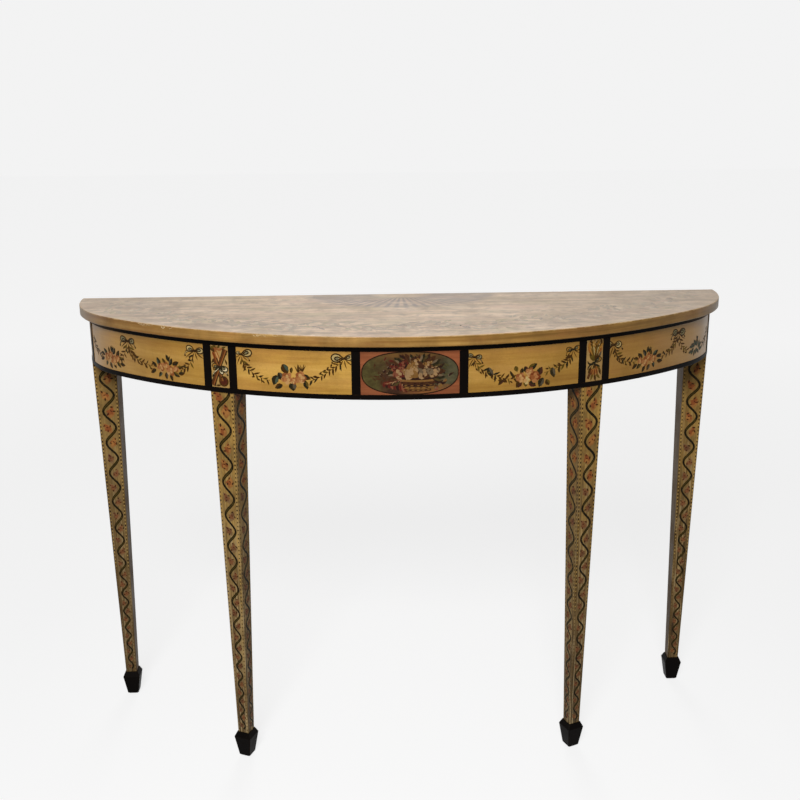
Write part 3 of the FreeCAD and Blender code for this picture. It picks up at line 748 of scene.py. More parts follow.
# Brush strokes
class PaintedWork:
    """Strokes on one surface, each a thin closed film of paint, gathered into one piece."""

    def __init__(self, name, face, slot, seed, thickness=1.0):
        self.name = name
        self.face = face
        self.slot = slot
        self.dice = random.Random(seed)
        self.thickness = thickness
        self.strokes = 0
        self.points = []
        self.faces = []
        self.face_paints = []
        self.paints = []

    def lift(self, layer):
        """Height of the next film, with a hair's step so that no two films share a plane."""
        self.strokes += 1
        return self.thickness * (FILM_LIFT + layer * FILM_LAYER + self.strokes % FILM_STEPS * FILM_STEP)

    def add_faces(self, faces, paint):
        if paint not in self.paints:
            self.paints.append(paint)
        self.faces += faces
        self.face_paints += [self.paints.index(paint)] * len(faces)

    def film(self, left, right, paint, layer):
        """Film between two edges of matching places."""
        start = len(self.points)
        lift = self.lift(layer)
        for near, far in zip(left, right):
            self.points.append(self.face(*near, lift))
            self.points.append(self.face(*far, lift))
            self.points.append(self.face(*far, -FILM_SUNK))
            self.points.append(self.face(*near, -FILM_SUNK))
        last = start + 4 * (len(left) - 1)
        faces = [(start, start + 3, start + 2, start + 1), (last, last + 1, last + 2, last + 3)]
        for here in range(start, last, 4):
            for corner in range(4):
                after = (corner + 1) % 4
                faces.append((here + corner, here + after, here + after + 4, here + corner + 4))
        self.add_faces(faces, paint)

    def dot(self, centre, radius, paint, layer, sides=6):
        """Round touch of the brush, highest in its middle."""
        start = len(self.points)
        self.points.append(self.face(*centre, self.lift(layer)))
        for side in range(sides):
            rim = towards(centre, 360 * side / sides, radius)
            self.points.append(self.face(*rim, 0.0))
        ring = [start + 1 + side for side in range(sides)]
        faces = [(start, ring[side], ring[(side + 1) % sides]) for side in range(sides)]
        self.add_faces(faces + [tuple(reversed(ring))], paint)

    def stroke(self, line, widths, paint, layer):
        """Band of paint along a line of places."""
        left, right = [], []
        for step, (a, b) in enumerate(line):
            before = line[max(step - 1, 0)]
            after = line[min(step + 1, len(line) - 1)]
            run = math.dist(before, after)
            half = widths[step] / 2
            aside = (-(after[1] - before[1]) / run * half, (after[0] - before[0]) / run * half)
            left.append((a + aside[0], b + aside[1]))
            right.append((a - aside[0], b - aside[1]))
        self.film(left, right, paint, layer)

    def finish(self):
        """Makes the piece."""
        mesh = bpy.data.meshes.new(self.name)
        mesh.from_pydata(self.points, [], self.faces)
        for paint in self.paints:
            mesh.materials.append(PAINT[paint])
        mesh.polygons.foreach_set("material_index", self.face_paints)
        mesh.validate()
        mesh.update()
        piece = bpy.data.objects.new(self.name, mesh)
        bpy.context.scene.collection.objects.link(piece)
        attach(piece, "root")


def towards(place, heading, distance):
    turn = math.radians(heading)
    return (place[0] + distance * math.cos(turn), place[1] + distance * math.sin(turn))


def bent_line(start, heading, length, bend, steps):
    """Line of places that sets off on a heading and turns evenly by the bend."""
    line = [start]
    for step in range(steps):
        line.append(towards(line[-1], heading + bend * (step + 0.5) / steps, length / steps))
    return line


def swept_line(start, pull_start, pull_end, end, steps):
    """Smooth line between two places, drawn towards two others on the way."""
    line = []
    for step in range(steps + 1):
        t = step / steps
        weights = ((1 - t) ** 3, 3 * t * (1 - t) ** 2, 3 * t * t * (1 - t), t**3)
        corners = (start, pull_start, pull_end, end)
        line.append(tuple(sum(w * c[axis] for w, c in zip(weights, corners)) for axis in (0, 1)))
    return line


# Motifs
def leaf(work, base, heading, length, width, paint, layer, bend=0.0):
    """Pointed leaf from its stalk to its tip."""
    fullness = (0.22, 0.86, 1.0, 0.62, 0.08)
    line = bent_line(base, heading - bend / 2, length, bend, len(fullness) - 1)
    work.stroke(line, [width * share for share in fullness], paint, layer)


def touch(work, middle, heading, length, width, paint, layer, bend=0.0):
    """Leaf-shaped touch of the brush about its middle."""
    leaf(work, towards(middle, heading + 180, length / 2), heading, length, width, paint, layer, bend)


def petal(work, base, heading, length, width, paint, layer):
    """Blunt petal from its base to its end."""
    fullness = (0.45, 0.92, 1.0, 0.82, 0.4)
    line = bent_line(base, heading, length, 0.0, len(fullness) - 1)
    work.stroke(line, [width * share for share in fullness], paint, layer)


def veined_leaf(work, middle, heading, length, width, paints, layer):
    """Large leaf with one half lit and a dark vein."""
    dark, lit = paints
    base = towards(middle, heading + 180, length / 2)
    leaf(work, base, heading, length, width, dark, layer, 14)
    side = towards(base, heading + 62, width * 0.2)
    leaf(work, side, heading + 4, length * 0.78, width * 0.5, lit, layer + 1, 18)
    vein = bent_line(base, heading - 6, length * 0.85, 12, 3)
    work.stroke(vein, [0.0010, 0.0009, 0.0007, 0.0004], "leaf_dark", layer + 2)


def rose(work, centre, size, paints, layer):
    """Full-blown rose: loose broad petals, smaller ones over them, curled lines and a heart."""
    shade, body, light, heart = paints
    dice = work.dice
    spin = dice.uniform(0, 72)
    for number, tone in enumerate((body, shade, body, light, shade)):
        heading = spin + 72 * number + dice.uniform(-14, 14)
        base = towards(centre, heading, size * 0.04)
        length = size * dice.uniform(0.36, 0.54)
        width = size * dice.uniform(0.36, 0.54)
        petal(work, base, heading, length, width, tone, layer)
    for number, tone in enumerate((light, body, light)):
        heading = spin + 36 + 120 * number + dice.uniform(-20, 20)
        petal(work, centre, heading, size * dice.uniform(0.22, 0.34), size * 0.26, tone, layer + 1)
    for number in range(3):
        heading = spin + 120 * number + dice.uniform(-20, 20)
        curl = bent_line(towards(centre, heading, size * 0.31), heading + 65, size * 0.32, 75, 4)
        work.stroke(curl, [size * share for share in (0.03, 0.06, 0.07, 0.06, 0.03)], shade, layer + 2)
    work.dot(towards(centre, spin, size * 0.05), size * 0.10, heart, layer + 3)


def garland(work, start, pull_start, pull_end, end):
    """String of single leaves to either side of a thin stem."""
    dice = work.dice
    length = math.dist(start, pull_start) + math.dist(pull_start, pull_end) + math.dist(pull_end, end)
    count = max(int(length / GARLAND_PITCH), 4)
    line = swept_line(start, pull_start, pull_end, end, count)
    work.stroke(line, [0.0009] * len(line), "stem_brown", 0)
    for step in range(count):
        (a, b), (c, d) = line[step], line[step + 1]
        along = math.degrees(math.atan2(d - b, c - a))
        side = 1 if step % 2 else -1
        heading = along + side * dice.uniform(28, 68)
        paint = dice.choice(("leaf_brown", "leaf_brown", "leaf_dark", "leaf_olive"))
        leaf_length = GARLAND_LEAF * dice.uniform(0.75, 1.15)
        width = leaf_length * dice.uniform(0.26, 0.36)
        leaf(work, (a, b), heading, leaf_length, width, paint, 1, side * 25)
        if step % 2:
            spot = towards((a, b), along - side * dice.uniform(60, 110), GARLAND_LEAF * 0.5)
            turned = along + dice.uniform(-50, 50)
            touch(work, spot, turned, GARLAND_LEAF * 0.55, GARLAND_LEAF * 0.26, "leaf_brown", 1)


def ribbon(work, line, width, paints, layer):
    """Ribbon with dark edges and a pale middle, now broad, now turned on edge."""
    edge, face = paints
    count = len(line) - 1
    widths = [width * (0.8 + 0.3 * math.cos(4 * math.pi * step / count)) for step in range(count + 1)]
    work.stroke(line, widths, edge, layer)
    work.stroke(line[1:-1], [w * 0.34 for w in widths[1:-1]], face, layer + 1)


def loop_outline(knot, heading, reach, opening):
    """Line of one loop, out from the knot and back to it."""
    outline = []
    for step in range(13):
        t = step / 12
        outline.append(towards(knot, heading + opening * (t - 0.5), reach * math.sin(math.pi * t) ** 0.6))
    return outline


def ribbon_loop(work, knot, heading, reach, opening, paints, layer):
    """Loop of ribbon: its pale face between two dark edges, with the shaded inside of the loop."""
    edge, face = paints
    inside = towards(knot, heading, reach * 0.22)
    for line, fill, width in (
        (loop_outline(knot, heading, reach, opening), face, 0.11),
        (loop_outline(inside, heading + 8, reach * 0.50, opening * 0.8), "ribbon_grey", 0.10),
    ):
        work.film(line[11:6:-1], line[1:6], fill, layer)
        work.stroke(line, [reach * width] * len(line), edge, layer + 1)
        layer += 1


def bow(work, knot, size, loops, tilt, paints):
    """Ribbon tied in two loops with two waving ends, and a few thin leaves under the knot."""
    dice = work.dice
    for heading in (182, 216, 252, 290, 326, 358):
        length = size * dice.uniform(0.7, 1.3)
        base = towards(knot, heading, size * 0.2)
        leaf(work, base, heading + tilt, length, size * 0.12, "leaf_brown", 1, 24)
    for side, share in zip((-1, 1), loops):
        out = 90 - side * dice.uniform(68, 94) + tilt
        reach = share * size * dice.uniform(0.95, 1.15)
        ribbon_loop(work, knot, out, reach, dice.uniform(74, 96), paints, 3)
        end = towards(knot, -90 + side * 62 + tilt, size * 1.3)
        near, far = towards(knot, -90 + side * 95, size * 0.7), towards(end, 115, size * 0.5)
        ribbon(work, swept_line(knot, near, far, end, 7), size * 0.18, paints, 2)
    work.dot(knot, size * 0.15, paints[0], 6, 8)


def tuft(work, base, height, paint):
    """Tuft of grass-like strokes."""
    for heading in (64, 80, 98, 116):
        length = height * work.dice.uniform(0.75, 1.1)
        blade = bent_line(base, heading, length, work.dice.uniform(-14, 14), 3)
        work.stroke(blade, [0.0012, 0.0022, 0.0018, 0.0005], paint, 1)


def sprigs(work, x, touches, length, width, bend):
    """Loose touches round a trophy: across from its middle, height, heading and paint of each."""
    for across, height, heading, paint in touches:
        touch(work, (x + across * MM, height * MM), heading, length, width, paint, 1, bend)


# Frieze
def panel_stations():
    """Where the right die has its middle and the right side panel starts, measured along the frieze."""
    radius = BOW_RADIUS - RAIL_FACE_INSET
    face = (BOW_RADIUS - PANEL_FACE_INSET) / radius
    foot_low, foot_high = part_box("foot_front_right")
    foot_x, foot_y = (foot_low.x + foot_high.x) / 2, (foot_low.y + foot_high.y) / 2
    leg = math.atan2(foot_x, BOW_CENTRE_Y - foot_y) * radius
    return leg * face, (leg + DIE_WIDTH / 2 + STILE_WIDTH) * face


DIE_MIDDLE, SIDE_START = panel_stations()
FIRST_SWAG = {-1: (SIDE_START + 0.018, SIDE_START + 0.178), 1: (SIDE_START + 0.009, SIDE_START + 0.178)}
SECOND_SWAG = (SIDE_START + 0.178, SIDE_START + 0.306)

# Stem of a swag on the sides: in from its bow and up from the floor, in millimetres; the height of its low
# middle, how far short of it the stem ends, and the height of the bows
SWAG_HANG = ((4, 812), (8, 794), (20, 784))
SWAG_LOW = 0.781
SWAG_STOP = 0.030
SWAG_BOW = 0.8195

# Leaves and roses of the front panels, placed in millimetres along the curve and up from the floor:
# across, height, heading, length, width and the two paints of a leaf; across, height and size of a rose
LEFT_LEAVES = (
    (-217, 800, 300, 17, 12, "leaf_brown", "leaf_teal"),
    (-206, 798, 262, 10, 5, "leaf_brown", "leaf_olive"),
    (-236, 779, 250, 17, 11, "leaf_dark", "leaf_teal"),
    (-225, 786, 305, 15, 10, "leaf_dark", "leaf_slate"),
    (-230, 768, 205, 14, 8, "leaf_brown", "leaf_dark"),
    (-204, 769, 278, 14, 12, "leaf_dark", "leaf_slate"),
    (-179, 787, 335, 14, 8, "leaf_brown", "leaf_dark"),
    (-180, 773, 285, 15, 8, "leaf_dark", "leaf_olive"),
)
LEFT_ROSES = ((-214, 783, 21, ROSE_SALMON), (-203, 779, 15, ROSE_SALMON), (-190, 786, 24, ROSE_SALMON))
RIGHT_LEAVES = (
    (140, 792, 298, 18, 9, "leaf_dark", "leaf_slate"),
    (159, 773, 225, 12, 6, "leaf_brown", "leaf_plum"),
    (180, 785, 305, 15, 4, "leaf_dark", "leaf_brown"),
    (187, 795, 290, 10, 7, "leaf_olive", "leaf_olive"),
    (197, 791, 80, 10, 6, "leaf_dark", "leaf_brown"),
    (206, 792, 300, 13, 8, "leaf_dark", "leaf_plum"),
    (218, 798, 25, 16, 9, "leaf_dark", "leaf_olive"),
    (231, 788, 60, 15, 10, "leaf_plum", "leaf_dark"),
    (192, 767, 230, 13, 10, "leaf_brown", "leaf_plum"),
    (205, 767, 275, 10, 7, "leaf_olive", "leaf_brown"),
    (218, 766, 325, 14, 9, "leaf_plum", "leaf_dark"),
    (234, 767, 245, 16, 10, "leaf_dark", "leaf_slate"),
    (247, 766, 300, 11, 8, "leaf_brown", "leaf_olive"),
    (257, 783, 285, 17, 9, "leaf_dark", "leaf_slate"),
    (269, 787, 270, 11, 5, "leaf_brown", "leaf_olive"),
)
RIGHT_ROSES = (
    (195, 779, 20, ROSE_SALMON),
    (212, 788, 17, ROSE_SALMON),
    (207, 775, 18, ROSE_YELLOW),
    (222, 779, 24, ROSE_RED),
)

# Leaves and roses of a swag on the sides, across from its middle
SIDE_LEAVES = (
    (-20, 791, 130, 16, 9, "leaf_dark", "leaf_teal"),
    (-7, 794, 100, 13, 7, "leaf_brown", "leaf_olive"),
    (9, 796, 70, 15, 8, "leaf_dark", "leaf_slate"),
    (20, 791, 35, 15, 9, "leaf_dark", "leaf_brown"),
    (-33, 773, 205, 15, 8, "leaf_brown", "leaf_dark"),
    (-16, 769, 240, 13, 7, "leaf_dark", "leaf_teal"),
    (-2, 767, 280, 13, 8, "leaf_brown", "leaf_slate"),
    (22, 771, 320, 15, 8, "leaf_dark", "leaf_olive"),
    (33, 774, 345, 14, 7, "leaf_brown", "leaf_dark"),
    (-30, 787, 150, 14, 7, "leaf_dark", "leaf_brown"),
    (1, 799, 95, 12, 6, "leaf_dark", "leaf_dark"),
    (30, 785, 20, 13, 7, "leaf_brown", "leaf_olive"),
    (10, 766, 300, 13, 7, "leaf_dark", "leaf_brown"),
)
SIDE_ROSES = ((-14, 781, 18), (8, 778, 20), (-2, 786, 15), (20, 782, 13))

# Touches round the trophies of the dies: across, height, heading and paint
LEFT_DIE_UPPER = (
    (-15, 829, 200, "leaf_olive"),
    (-10, 832, 150, "leaf_olive"),
    (-1, 832, 60, "leaf_olive"),
    (9, 831, 20, "leaf_olive"),
    (13, 822, 300, "leaf_olive"),
)
LEFT_DIE_LOWER = (
    (-14, 806, 60, "leaf_brown"),
    (12, 805, 110, "leaf_brown"),
    (14, 790, 250, "leaf_brown"),
    (-14, 768, 100, "leaf_brown"),
    (-4, 762, 10, "leaf_brown"),
)
RIGHT_DIE_SPRIGS = (
    (-12, 827, 70, "trophy_rust"),
    (-12, 816, 110, "trophy_rust"),
    (-9, 806, 100, "leaf_brown"),
    (-5, 800, 120, "leaf_olive"),
    (13, 829, 100, "leaf_brown"),
    (13, 816, 75, "trophy_rust"),
    (11, 806, 60, "leaf_slate"),
    (7, 799, 50, "leaf_brown"),
    (9, 783, 300, "leaf_olive"),
    (13, 775, 285, "leaf_brown"),
    (9, 767, 310, "leaf_olive"),
    (-9, 779, 240, "leaf_brown"),
    (-4, 766, 250, "leaf_olive"),
    (3, 764, 280, "leaf_brown"),
)

# Fruit and flowers of the tablet: across and up from its middle, radius or size, and paints
FRUIT = (
    (52, -22, 6.6, "still_gold"),
    (45, -28, 5.6, "still_rose"),
    (60, -14, 5.2, "still_gold"),
    (-44, 4, 5.2, "still_plum"),
    (-37, 10, 5.0, "still_plum"),
    (-38, -1, 4.8, "still_brown"),
    (-50, -3, 4.6, "still_plum"),
    (-30, 15, 4.6, "still_plum"),
)
HEAP = (
    (-20, 0, 23, HEAP_ROSY),
    (41, 1, 23, HEAP_GREY),
    (-13, 16, 17, HEAP_WINE),
    (30, 16, 17, HEAP_GOLD),
    (0, 2, 28, HEAP_CREAM),
    (23, 1, 25, HEAP_GREY),
    (9, 18, 20, HEAP_GOLD),
    (-28, 11, 13, HEAP_WINE),
)


def at_mm(*places):
    """Places given in millimetres, in metres."""
    return [(across * MM, height * MM) for across, height in places]


def paint_cluster(work, leaves, roses):
    """Large leaves with roses over them."""
    for across, height, heading, length, width, *paints in leaves:
        place = (across * MM, height * MM)
        veined_leaf(work, place, heading, LEAF_LENGTHEN * length * MM, LEAF_WIDEN * width * MM, paints, 1)
    for across, height, size, paints in roses:
        rose(work, (across * MM, height * MM), size * MM, paints, 3)


def paint_front_left():
    """Garland with pale roses between two bows, left of the tablet."""
    work = PaintedWork("garland_front_left", frieze_face, "painted_frieze", 11)
    garland(work, *at_mm((-297, 813), (-292, 800), (-276, 782), (-246, 778)))
    garland(work, *at_mm((-116, 814), (-134, 806), (-146, 788), (-174, 780)))
    for base in at_mm((-194, 794), (-187, 795)):
        tuft(work, base, 0.014, "leaf_brown")
    paint_cluster(work, LEFT_LEAVES, LEFT_ROSES)
    bow(work, (-0.2985, 0.8210), 0.0150, (0.62, 1.25), -6, BOW_PALE)
    bow(work, (-0.1135, 0.8215), 0.0165, (1.15, 0.95), -4, BOW_PALE)
    work.finish()


def paint_front_right():
    """Garland with darker roses between two bows, right of the tablet."""
    work = PaintedWork("garland_front_right", frieze_face, "painted_frieze", 23)
    garland(work, *at_mm((113, 814), (116, 802), (128, 794), (140, 790)))
    garland(work, *at_mm((142, 790), (152, 784), (166, 776), (188, 778)))
    garland(work, *at_mm((294, 812), (290, 799), (276, 793), (240, 784)))
    paint_cluster(work, RIGHT_LEAVES, RIGHT_ROSES)
    bow(work, (0.1105, 0.8205), 0.0150, (0.66, 0.95), -10, BOW_GREY)
    bow(work, (0.2960, 0.8205), 0.0130, (1.0, 1.0), 10, BOW_DARK)
    work.finish()


def paint_side(name, hand, seed, share, far_roses):
    """Two swags along one end of the frieze, low at a share of their span; the far one may have no roses."""
    work = PaintedWork(name, frieze_face, "painted_frieze", seed)
    for (first, last), rose_size in ((FIRST_SWAG[hand], 1.0), (SECOND_SWAG, far_roses)):
        middle = first + share * (last - first)
        for edge, side in ((first, 1), (last, -1)):
            hang = [(hand * (edge + side * inward * MM), height * MM) for inward, height in SWAG_HANG]
            garland(work, *hang, (hand * (middle - side * SWAG_STOP), SWAG_LOW))
        paint_side_leaves(work, hand, middle, rose_size > 0)
        tuft(work, (hand * middle + 0.004, 0.794), 0.011, "leaf_dark")
        for across, height, size in SIDE_ROSES if rose_size else ():
            place = (hand * (middle - across * MM), height * MM)
            rose(work, place, rose_size * size * MM, ROSE_SALMON, 3)
    for first, paints in ((FIRST_SWAG[hand][0], BOW_PALE), (SECOND_SWAG[0], BOW_GREY)):
        bow(work, (hand * first, SWAG_BOW), 0.0180, (1.0, 1.0), 0, paints)
    work.finish()


def paint_side_leaves(work, hand, middle, with_roses):
    """Large leaves of one swag, gathered closer and greyer where it has no roses."""
    dice = work.dice
    gather = 1.0 if with_roses else 0.62
    for across, height, heading, length, width, *paints in SIDE_LEAVES:
        up = SWAG_LOW + gather * (height * MM - SWAG_LOW) + dice.uniform(-0.002, 0.002)
        place = (hand * (middle - gather * across * MM), up)
        turned = (heading if hand < 0 else 180 - heading) + dice.uniform(-24, 24)
        paints = paints if with_roses else ("leaf_slate", "leaf_teal")
        veined_leaf(work, place, turned, length * MM, width * MM, paints, 1)


def paint_die_left():
    """Pipes and quiver crossed over a tambourine, tied with a pale ribbon."""
    work = PaintedWork("trophy_left", frieze_face, "painted_frieze", 31)
    x = -DIE_MIDDLE
    paint_quiver(work, x)
    paint_pipe(work, (x - 0.0160, 0.7610), 67, 0.0720)
    paint_pipe(work, (x - 0.0095, 0.8100), 288, 0.0420)
    paint_tambourine(work, (x + 0.0065, 0.7695))
    knot = (x - 0.0020, 0.7955)
    for out, reach, opening, paints in (
        (-18, 0.0180, 70, BOW_WHITE),
        (-62, 0.0150, 60, BOW_WHITE),
        (172, 0.0135, 84, BOW_DARK),
        (205, 0.0130, 50, BOW_DARK),
    ):
        ribbon_loop(work, knot, out, reach, opening, paints, 7)
    for end in ((x - 0.0150, 0.7760), (x + 0.0150, 0.7800)):
        tail = swept_line(knot, (knot[0], 0.788), (end[0], 0.788), end, 6)
        ribbon(work, tail, 0.0034, BOW_WHITE, 6)
    work.dot(knot, 0.0034, "leaf_dark", 10, 8)
    sprigs(work, x, LEFT_DIE_UPPER, 0.010, 0.0040, 20)
    sprigs(work, x, LEFT_DIE_LOWER, 0.011, 0.0036, 30)
    work.finish()


def paint_quiver(work, x):
    """Quiver with its lit and shaded sides and a bunch of feathers."""
    quiver = bent_line((x + 0.003, 0.790), 112, 0.034, 0, 4)
    for aside, share, paint, layer in (
        (0.0, 1.0, "trophy_rust", 1),
        (-0.0034, 0.28, "rose_heart", 2),
        (0.0026, 0.22, "rose_cream", 2),
    ):
        widths = [share * width for width in (0.0070, 0.0100, 0.0115, 0.0120, 0.0110)]
        work.stroke([(a + aside, b) for a, b in quiver], widths, paint, layer)
    for heading in (60, 80, 100, 122, 146):
        paint = "rose_rust" if heading < 120 else "leaf_brown"
        leaf(work, quiver[-1], heading, 0.0130, 0.0044, paint, 1, 15)
    touch(work, (x + 0.002, 0.8275), 12, 0.014, 0.0056, "rose_rust", 2)
    touch(work, (x + 0.001, 0.8285), 12, 0.010, 0.0028, "rose_salmon", 3)


def paint_pipe(work, start, heading, length):
    """Brown pipe with a dark outline and a lit side."""
    pipe = bent_line(start, heading, length, 0, 5)
    work.stroke(pipe, [0.0110, 0.0090, 0.0084, 0.0084, 0.0088, 0.0108], "leaf_dark", 3)
    work.stroke(pipe, [0.0084, 0.0062, 0.0056, 0.0056, 0.0060, 0.0082], "trophy_brown", 4)
    work.stroke([(a + 0.0016, b) for a, b in pipe], [0.0016] * len(pipe), "trophy_rust", 5)


def paint_tambourine(work, drum):
    """Round tambourine with a dark rim and small gilt jingles."""
    work.dot(drum, 0.0088, "bud_maroon", 5, 14)
    ring = bent_line(towards(drum, 0, 0.0084), 90, 0.0528, 360, 16)
    work.stroke(ring, [0.0024] * len(ring), "leaf_brown", 6)
    for step in range(8):
        work.dot(ring[2 * step], 0.0016, "trophy_gold", 8)


def paint_die_right():
    """Bundle of reeds over a crossed stalk, tied low with a dark ribbon, with leaves and a bud round it."""
    work = PaintedWork("trophy_right", frieze_face, "painted_frieze", 37)
    x = DIE_MIDDLE
    tie = (x - 0.0005, 0.7925)
    stalk = swept_line((x - 0.0130, 0.7635), (x - 0.008, 0.775), (x, 0.788), (x + 0.0110, 0.8240), 6)
    work.stroke(stalk, [0.0052] * len(stalk), "leaf_dark", 1)
    work.stroke(stalk, [0.0030] * len(stalk), "trophy_brown", 2)
    for number, heading in enumerate((64, 72, 79, 86, 93, 101, 110)):
        foot = towards(tie, heading + 180, 0.012)
        tip = towards(tie, heading, 0.034 + 0.003 * (number % 3))
        paint_reed(work, swept_line(foot, (x, 0.787), (x, 0.799), tip, 6), heading, number)
    sprigs(work, x, RIGHT_DIE_SPRIGS, 0.014, 0.0050, 20)
    for aside, heading in ((-0.004, 255), (0.0, 270), (0.004, 285)):
        petal(work, (x + 0.001 + aside / 3, 0.787), heading, 0.018, 0.0062, "trophy_rust", 2)
        leaf(work, (x + 0.001 + aside, 0.780), heading, 0.013, 0.0024, "trophy_brown", 3)
    ribbon_loop(work, tie, 24, 0.0165, 66, BOW_DARK, 6)
    for across, height, pull in ((-0.0140, 0.7960, 0.788), (-0.0135, 0.7800, 0.790), (0.0120, 0.7830, 0.786)):
        end = (x + across, height)
        tail = swept_line(tie, (tie[0], pull), (end[0], pull), end, 6)
        work.stroke(tail, [0.0040, 0.0040, 0.0038, 0.0034, 0.0030, 0.0024, 0.0012], "leaf_dark", 6)
    work.dot(tie, 0.0036, "leaf_dark", 9, 8)
    work.finish()


def paint_reed(work, stalk, heading, number):
    """One reed of the bundle with its dark side, a leaf and an ear of grains."""
    paint = ("trophy_gold", "ribbon_pale", "leaf_olive")[number % 3]
    widths = (0.0030, 0.0032, 0.0028, 0.0032, 0.0036, 0.0034, 0.0018)
    work.stroke(stalk, widths, paint, 3)
    work.stroke([(a + 0.0012, b) for a, b in stalk], [0.3 * width for width in widths], "leaf_brown", 4)
    side, green, ripe = (1, "leaf_brown", "leaf_brown") if number % 2 else (-1, "leaf_olive", "trophy_gold")
    leaf(work, stalk[3], heading - side * 24, 0.014, 0.0040, green, 4, side * 20)
    for grain in range(4):
        spot = towards(stalk[-1], heading + 180, 0.0030 * grain)
        aside = 30 if grain % 2 else -30
        leaf(work, spot, heading + aside, 0.0060, 0.0024, ripe, 5)


def oval_slices(radius_a, radius_b, centre, count):
    """Lower and upper edges of an oval, from left to right."""
    low, high = [], []
    for step in range(count + 1):
        across = -math.cos(math.pi * (OVAL_TIP + (1 - 2 * OVAL_TIP) * step / count))
        half = radius_b * (1 - abs(across) ** OVAL_FULLNESS) ** (1 / OVAL_FULLNESS)
        low.append((centre[0] + radius_a * across, centre[1] - half))
        high.append((centre[0] + radius_a * across, centre[1] + half))
    return low, high


def paint_tablet():
    """Basket of flowers and fruit on a cloth, in an oval with brick-red corners."""
    work = PaintedWork("tablet_picture", frieze_face, "painted_tablet", 41)
    middle = (0.0, (PANEL_LOW + PANEL_HIGH) / 2)
    low, high = oval_slices(OVAL_HALF_WIDTH, OVAL_HALF_HEIGHT, middle, 44)
    work.film(high, low, "oval_ground", 0)
    paint_dusk(work, middle)
    rim = low + high[::-1]
    work.stroke(rim + rim[:2], [0.0019] * (len(rim) + 2), "oval_line", 3)
    paint_cloth(work, middle)
    paint_basket(work, middle)
    paint_heap(work, middle)
    work.finish()


def paint_dusk(work, middle):
    """Short touches over the oval's ground: mossy on the left, brown in the middle, grey on the right."""
    dice = work.dice
    for _ in range(150):
        turn = dice.uniform(0, 2 * math.pi)
        reach = 0.86 * math.sqrt(dice.random())
        across, up = reach * math.cos(turn), reach * math.sin(turn)
        if across < -0.55:
            paint = dice.choice(("still_moss", "still_olive", "still_brown"))
        elif across < 0.45:
            paint = dice.choice(("still_brown", "still_plum", "still_wine", "still_olive"))
        else:
            paint = dice.choice(("still_moss", "still_grey", "still_plum"))
        if up < -0.55 and across > 0:
            paint = dice.choice(("still_gold", "still_rose", "still_brown"))
        spot = (middle[0] + across * OVAL_HALF_WIDTH, middle[1] + up * OVAL_HALF_HEIGHT)
        length = dice.uniform(0.006, 0.012)
        heading = dice.uniform(0, 180)
        width = length * dice.uniform(0.22, 0.36)
        touch(work, spot, heading, length, width, paint, 1, dice.uniform(-40, 40))


def paint_cloth(work, middle):
    """Crimson cloth falling in folds from under the basket's left side."""
    x, z = middle
    for number in range(9):
        head = (x - 0.002 - 0.0034 * number, z - 0.004 - 0.0014 * number)
        foot = (x - 0.006 - 0.0048 * number, z - 0.034 + 0.0012 * number)
        pull, drop = (head[0] - 0.010, head[1] - 0.004), (foot[0] - 0.005, foot[1] + 0.010)
        fold = swept_line(head, pull, drop, foot, 6)
        paint = ("still_wine", "still_rose", "still_wine", "still_plum")[number % 4]
        work.stroke(fold, [0.003, 0.0050, 0.0062, 0.0066, 0.0060, 0.0046, 0.002], paint, 2)
        work.stroke(fold[1:5], [0.0006, 0.0014, 0.0014, 0.0005], ("still_rose", "still_cream")[number % 2], 3)


def paint_basket(work, middle):
    """Wide basket in rows of light and dark weave, with fruit beside it."""
    x, z = middle
    for row in range(6):
        half = 0.022 + 0.0024 * row
        weave = bent_line((x + 0.014 - half, z - 0.029 + 0.0042 * row), -7, 2 * half, 14, 10)
        work.stroke(weave, [0.0046] * len(weave), ("still_brown", "still_gold", "still_plum")[row % 3], 3)
        for knot in range(1, 10, 2):
            touch(work, weave[(knot + row) % 10], 4, 0.0056, 0.0018, ("still_gold", "still_plum")[row % 2], 4)
    for across, up, radius, paint in FRUIT:
        spot = (x + across * MM, z + up * MM)
        work.dot(spot, radius * MM, paint, 4, 12)
        shine = towards(spot, 130, radius * MM * 0.4)
        touch(work, shine, 40, radius * MM * 0.8, radius * MM * 0.36, "still_grey", 6)


def paint_heap(work, middle):
    """Flowers heaped in the basket with dark leaves round them, worked over with short touches."""
    x, z = middle
    dice = work.dice
    for number in range(19):
        heading = -20 + 12.5 * number
        place = towards((x + 0.010, z - 0.001), heading, 0.021 + 0.021 * abs(math.cos(math.radians(heading))))
        dark = ("still_plum", "leaf_dark", "still_brown")[number % 3]
        lit = ("still_olive", "still_grey", "still_brown")[number % 3]
        veined_leaf(work, place, heading, 0.019, 0.0095, (dark, lit), 3)
    for across, up, size, paints in HEAP:
        centre = (x + across * MM, z + up * MM)
        rose(work, centre, size * MM, paints, 5)
        for _ in range(9):
            spot = towards(centre, dice.uniform(0, 360), size * MM * dice.uniform(0.15, 0.5))
            heading = dice.uniform(0, 360)
            touch(work, spot, heading, size * MM * 0.24, size * MM * 0.07, dice.choice(paints[:3]), 9, 40)


# Legs
def vine_turns(height):
    """Full waves of the vine from its first swing to the left down to this height."""
    ratio = leg_half_width(VINE_FIRST_SWING) / leg_half_width(height)
    return math.log(ratio) / (VINE_PITCH * LEG_TAPER)


